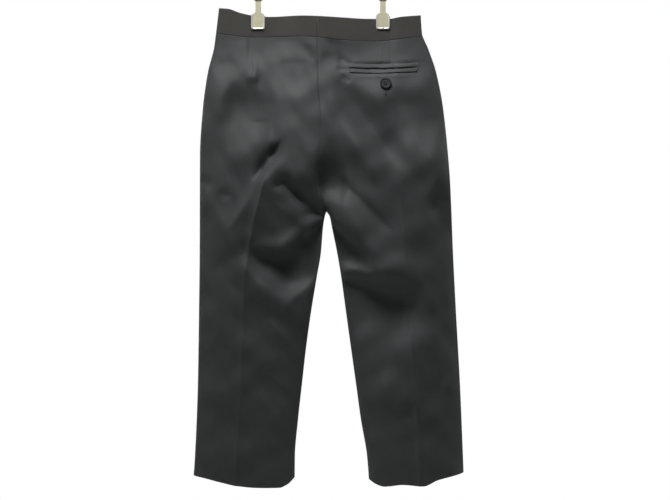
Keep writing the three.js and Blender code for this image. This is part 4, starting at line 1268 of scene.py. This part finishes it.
def buttonhole_stitches(looks):
    """The buttonhole's edge: half circles at its ends, moved apart by the cosine of the turn cut off at 1."""
    turn = np.linspace(0, 2 * np.pi, STITCH_POINTS, endpoint=False)
    middle = (BUTTONHOLE["top"] + BUTTONHOLE["bottom"]) / 2
    straight = (BUTTONHOLE["bottom"] - BUTTONHOLE["top"]) / 2 - BUTTONHOLE["half_width"]
    x = POCKET_BUTTON["x"] + BUTTONHOLE["half_width"] * np.sin(turn)
    drop = middle + straight * np.clip(BUTTONHOLE["straight"] * np.cos(turn), -1, 1)
    drop = drop + BUTTONHOLE["half_width"] * np.cos(turn)
    path = cloth_point("back", x, drop, 0, BUTTONHOLE["gap"], looks)
    radius, flat = STITCHES["radius"], STITCHES["flat"]
    return tube_object("buttonhole_stitches", path, radius, thread_finish(), sides=8, flat=flat, closed=True)


def buttonhole_slot_shade(looks):
    """The cut that shows at the buttonhole's lower end, a flattened line down the cloth in near-black painted
    shade.
    """
    foot = BUTTONHOLE["bottom"]
    d = np.linspace(foot - SLOT["up"], foot + SLOT["down"], SLOT_POINTS)
    path = cloth_point("back", np.full_like(d, POCKET_BUTTON["x"]), d, 0, LINING_SHADE["gap"], looks)
    # The slot's near-black colour is painted shade in the cut
    slot = tube_object("buttonhole_slot_shade", path, SLOT["radius"], lining_and_shade_finish(), sides=8, flat=SLOT["flat"])
    slot.data.uv_layers.new(name="Cloth")
    return slot


class TROUSERS_OT_pocket(bpy.types.Operator):
    """Make the back pocket: two welts, the slit between them shaded by a near-black painted strip, end tacks
    and the buttonhole
    """

    bl_idname = "trousers.pocket"
    bl_label = "Back pocket"

    def execute(self, context):
        looks = context.scene.trousers_cloth
        trims = []
        for above in (True, False):
            node = "pocket_welt_upper" if above else "pocket_welt_lower"
            outer, inner = welt_grids(above, looks)
            piece = wall_object(f"{node}_cloth", outer, inner, cloth_finish())
            trims.append(dress(piece, "cloth", node))

        # The lining strip between the welts is near black, painted shade of the slit
        top, base = lining_shade_grids(looks)
        trims.append(dress(wall_object("pocket_lining_painted_shade", top, base, lining_and_shade_finish()), "cloth"))
        ends = (("left", TACK["inwards"], 0.0), ("right", -TACK["inwards"], 1.0))
        tacks = [bar_tack(POCKET[end] + inwards, pocket_drop(share), looks) for end, inwards, share in ends]
        trims.append(dress(join_objects("pocket_tacks", tacks), "cloth"))
        trims += [dress(buttonhole_stitches(looks), "cloth"), dress(buttonhole_slot_shade(looks), "cloth")]
        return {"FINISHED"}


def surface_frame(face, place, looks):
    """Unit vectors across, up and outwards on the cloth round a button."""
    reach = BUTTON["radius"] - BUTTON["rim"]
    x, drop = np.array(place["x"], float), np.array(place["drop"], float)

    def point(across, down):
        return cloth_point(face, x + across, drop + down, 0, 0, looks)

    right, up = point(reach, 0) - point(-reach, 0), point(0, -reach) - point(0, reach)
    right = right / np.linalg.norm(right)
    out = np.cross(right, up)
    out = out / np.linalg.norm(out)
    if out[1] * OUTWARDS[face] < 0:
        out = -out
    return right, np.cross(out, right), out


def button_object(name, node, right, up, out, material):
    """A turned button, its half-section carried round, with four round dimples for the thread holes."""
    low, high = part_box(node)
    thick, spread = BUTTON["thick"], BUTTON["spread"]
    centre = np.array((low + high) / 2) / MM - out * thick / 2
    radii, heights = BUTTON["radius"] - BUTTON_PROFILE["inwards"], BUTTON_PROFILE["height"]
    steps = np.concatenate([[0], np.cumsum(np.hypot(np.diff(radii), np.diff(heights)))])
    face = np.linspace(0, steps[2], BUTTON_GRID["face"])[:-1]
    fine = np.concatenate([face, np.linspace(steps[2], steps[-1], BUTTON_GRID["edge"])])
    r = np.interp(fine, steps, radii)[:, None]
    z = np.interp(fine, steps, heights)[:, None]
    turn = np.linspace(0, 2 * np.pi, BUTTON_GRID["sides"], endpoint=False)[None, :]
    px, py = r * np.cos(turn), r * np.sin(turn)
    on_top = np.arange(len(fine))[:, None] < BUTTON_GRID["face"]
    away = np.hypot(np.abs(px) - spread, np.abs(py) - spread)
    dimple = BUTTON["dimple"] * (1 - ease(*BUTTON["hole"], away))
    height = z - np.where(on_top, dimple, 0)
    points = centre + px[..., None] * right + py[..., None] * up + height[..., None] * out
    rows, sides = points.shape[:2]
    points = points.reshape(-1, 3)
    number = np.arange(rows * sides).reshape(rows, sides)
    number[0], number[-1] = number[0, 0], number[-1, 0]
    quads = ring_quads(np.concatenate([number, number[:, :1]], 1))
    used, quads = np.unique(quads, return_inverse=True)
    quads = quads.reshape(-1, 4)
    points = points[used]
    if enclosed_volume(points, quads) < 0:
        quads = quads[:, ::-1]
    piece = make_object(name, points, quads, None, material, smooth=60)
    t = np.linspace(-1, 1, THREAD_POINTS)
    bow = thick - BUTTON_THREAD["under"] + BUTTON_THREAD["bow"] * (1 - t**2) - BUTTON_THREAD["dive"] * t**8
    threads = []
    for sign in (-1, 1):
        path = centre + np.outer(t * spread, right) + sign * spread * up + np.outer(bow, out)
        radius = BUTTON_THREAD["radius"]
        threads.append(tube_object("thread", path, radius, thread_finish(), sides=8, away=tuple(out)))
    return piece, join_objects(f"{name}_thread", threads)


class TROUSERS_OT_buttons(bpy.types.Operator):
    """Make the pocket's button and the waistband tab's button, sewn on with thread"""

    bl_idname = "trousers.buttons"
    bl_label = "Buttons"

    def execute(self, context):
        looks = context.scene.trousers_cloth
        horn = horn_material("Moulded button", context.scene.trousers_hardware.button_colour)
        right, up, out = surface_frame("back", POCKET_BUTTON, looks)
        button, thread = button_object("pocket_button_turned", "pocket_button", right, up, out, horn)
        dress(button, "button", "pocket_button")
        dress(thread, "cloth")
        low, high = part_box("waist_button")
        tilt = math.acos(min(1, (high.x - low.x) / MM / (2 * BUTTON["radius"])))
        out = np.array([math.sin(tilt) * TAB_BUTTON_LEAN, math.cos(tilt), 0])
        out = out / np.linalg.norm(out)
        up = np.array([0, 0, 1.0])
        right = np.cross(up, out)
        button, thread = button_object("waist_button_turned", "waist_button", right, up, out, horn)
        dress(button, "button", "waist_button")
        dress(thread, "cloth")
        return {"FINISHED"}


class TROUSERS_OT_zip(bpy.types.Operator):
    """Give the closed zip behind the fly its tape"""

    bl_idname = "trousers.zip"
    bl_label = "Fly zip"

    def execute(self, context):
        tape = metal_material("Zip tape", (0.03, 0.032, 0.034), roughness=0.85, metallic=0.0, relief=0.5)
        smooth_node("fly_zip", "fly_zip_tape", tape)
        return {"FINISHED"}


def clip_rim(half, side):
    """Path of the raised rim on one face of a clip: down one side of the jaw, along its foot and up the other
    side, with quarter circles at the corners."""
    low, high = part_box(f"clip_{half}")
    inset, corner = RIM["inset"], RIM["corner"]
    x_low, x_high = low.x / MM + inset, high.x / MM - inset
    foot = low.z / MM + inset
    face_y = (low.y if side == "back" else high.y) / MM
    upright = np.linspace(WAIST_Z + RIM["shoulder"], foot + corner, RIM_POINTS["side"] + 1)[:-1]
    turn = np.linspace(np.pi, 1.5 * np.pi, RIM_POINTS["corner"])
    rounding, rounding_z = corner + corner * np.cos(turn), foot + corner + corner * np.sin(turn)
    level = np.zeros_like(upright)
    x = np.concatenate([x_low + level, x_low + rounding, (x_high - rounding)[::-1], x_high + level])
    z = np.concatenate([upright, rounding_z, rounding_z[::-1], upright[::-1]])
    return np.stack([x, np.full(x.size, face_y), z], 1)


class TROUSERS_OT_hanger(bpy.types.Operator):
    """Make the hanger: wire, two clips with raised rims, and the rings round their necks"""

    bl_idname = "trousers.hanger"
    bl_label = "Hanger"

    def execute(self, context):
        hard = context.scene.trousers_hardware
        wire = metal_material("Plated wire", hard.wire_colour, roughness=0.3, metallic=1.0, relief=0.3)
        plate = metal_material("Clip plate", hard.clip_colour, roughness=0.42, metallic=0.35, relief=0.3)
        rim = metal_material("Clip rim", hard.rim_colour, roughness=0.3, metallic=0.6, relief=0.2)
        smooth_node("hanger_wire", "hanger_wire_plated", wire)
        for half in ("left", "right"):
            smooth_node(f"clip_{half}", f"clip_{half}_plate", plate, angle=30, bevel=CLIP_BEVEL)
            smooth_node(f"clip_ring_{half}", f"clip_ring_{half}_plated", wire, angle=30, bevel=RING_BEVEL)
            beads = []
            for side, outwards in OUTWARDS.items():
                path, away = clip_rim(half, side), (0, outwards, 0)
                beads.append(tube_object(f"rim_{side}", path, RIM["radius"], rim, 14, RIM["flat"], away=away))
            dress(join_objects(f"clip_{half}_rim", beads), "clip_metal")
        return {"FINISHED"}


def area_light(name, place, aim, size, power, spread):
    """A rectangular light at a place, turned towards its aim."""
    data = bpy.data.lights.new(name, "AREA")
    data.shape = "RECTANGLE"
    data.size, data.size_y = size
    data.energy = power
    data.spread = math.radians(spread)
    light = bpy.data.objects.new(name, data)
    light.location = place
    light.rotation_euler = (Vector(aim) - Vector(place)).to_track_quat("-Z", "Y").to_euler()
    bpy.context.scene.collection.objects.link(light)
    return light


class TROUSERS_OT_studio(bpy.types.Operator):
    """Set up the pale floor, the soft studio light and the camera at the photograph's angle"""

    bl_idname = "trousers.studio"
    bl_label = "Studio"

    def execute(self, context):
        studio = context.scene.trousers_studio
        mesh = bpy.data.meshes.new("floor")
        turns = ((-1, -1), (1, -1), (1, 1), (-1, 1))
        corners = [(x * FLOOR_REACH, y * FLOOR_REACH, FLOOR_LEVEL) for x, y in turns]
        mesh.from_pydata(corners, [], [(0, 1, 2, 3)])
        mesh.materials.append(floor_material("Pale floor", studio.floor_colour))
        floor = bpy.data.objects.new("floor", mesh)
        context.scene.collection.objects.link(floor)

        for name, (place, aim, size, setting, share, spread) in LIGHTS.items():
            area_light(name, place, aim, size, share * getattr(studio, setting), spread)

        world = bpy.data.worlds.new("Studio")
        world.use_nodes = True
        tree = world.node_tree
        background = tree.nodes["Background"]
        path = add_node(tree, "ShaderNodeLightPath")
        seen = math_node(tree, "MULTIPLY", path.outputs["Is Camera Ray"], 1 - studio.around)
        tree.links.new(math_node(tree, "ADD", seen, studio.around), background.inputs["Strength"])
        background.inputs["Color"].default_value = (1, 1, 1, 1)
        context.scene.world = world
        context.scene.view_settings.view_transform = "Standard"

        data = bpy.data.cameras.new("Camera")
        data.sensor_width = SENSOR
        data.lens = SENSOR * VIEW_DISTANCE / VIEW_WIDTH
        data.clip_end = 20
        camera = bpy.data.objects.new("Camera", data)
        camera.location = (VIEW_CENTRE[0] * MM, -VIEW_DISTANCE * MM, VIEW_CENTRE[1] * MM)
        camera.rotation_euler = (math.radians(90), 0, 0)
        context.scene.collection.objects.link(camera)
        context.scene.camera = camera
        return {"FINISHED"}


class TROUSERS_PT_sidebar(bpy.types.Panel):
    """Lists the pieces and their settings."""

    bl_label = "Dress trousers"
    bl_idname = "TROUSERS_PT_sidebar"
    bl_space_type = "VIEW_3D"
    bl_region_type = "UI"
    bl_category = "Trousers"

    def draw(self, context):
        for group in ("trousers_cloth", "trousers_hardware", "trousers_studio"):
            settings = getattr(context.scene, group)
            for name in settings.bl_rna.properties.keys():
                if name not in ("rna_type", "name"):
                    self.layout.prop(settings, name)
        for operator in OPERATORS:
            self.layout.operator(operator.bl_idname)


OPERATORS = (
    TROUSERS_OT_waistband,
    TROUSERS_OT_panels,
    TROUSERS_OT_pocket,
    TROUSERS_OT_buttons,
    TROUSERS_OT_zip,
    TROUSERS_OT_hanger,
    TROUSERS_OT_studio,
)
CLASSES = (TrousersCloth, TrousersHardware, TrousersStudio, *OPERATORS, TROUSERS_PT_sidebar)


def register():
    """Adds the classes and the scene's three groups of settings."""
    for cls in CLASSES:
        bpy.utils.register_class(cls)
    bpy.types.Scene.trousers_cloth = PointerProperty(type=TrousersCloth)
    bpy.types.Scene.trousers_hardware = PointerProperty(type=TrousersHardware)
    bpy.types.Scene.trousers_studio = PointerProperty(type=TrousersStudio)


def unregister():
    """Takes the settings and the classes away again."""
    del bpy.types.Scene.trousers_cloth
    del bpy.types.Scene.trousers_hardware
    del bpy.types.Scene.trousers_studio
    for cls in reversed(CLASSES):
        bpy.utils.unregister_class(cls)


def main():
    """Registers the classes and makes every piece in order."""
    register()
    bpy.ops.trousers.waistband()
    bpy.ops.trousers.panels()
    bpy.ops.trousers.pocket()
    bpy.ops.trousers.buttons()
    bpy.ops.trousers.zip()
    bpy.ops.trousers.hanger()
    bpy.ops.trousers.studio()


if __name__ == "__main__":
    main()
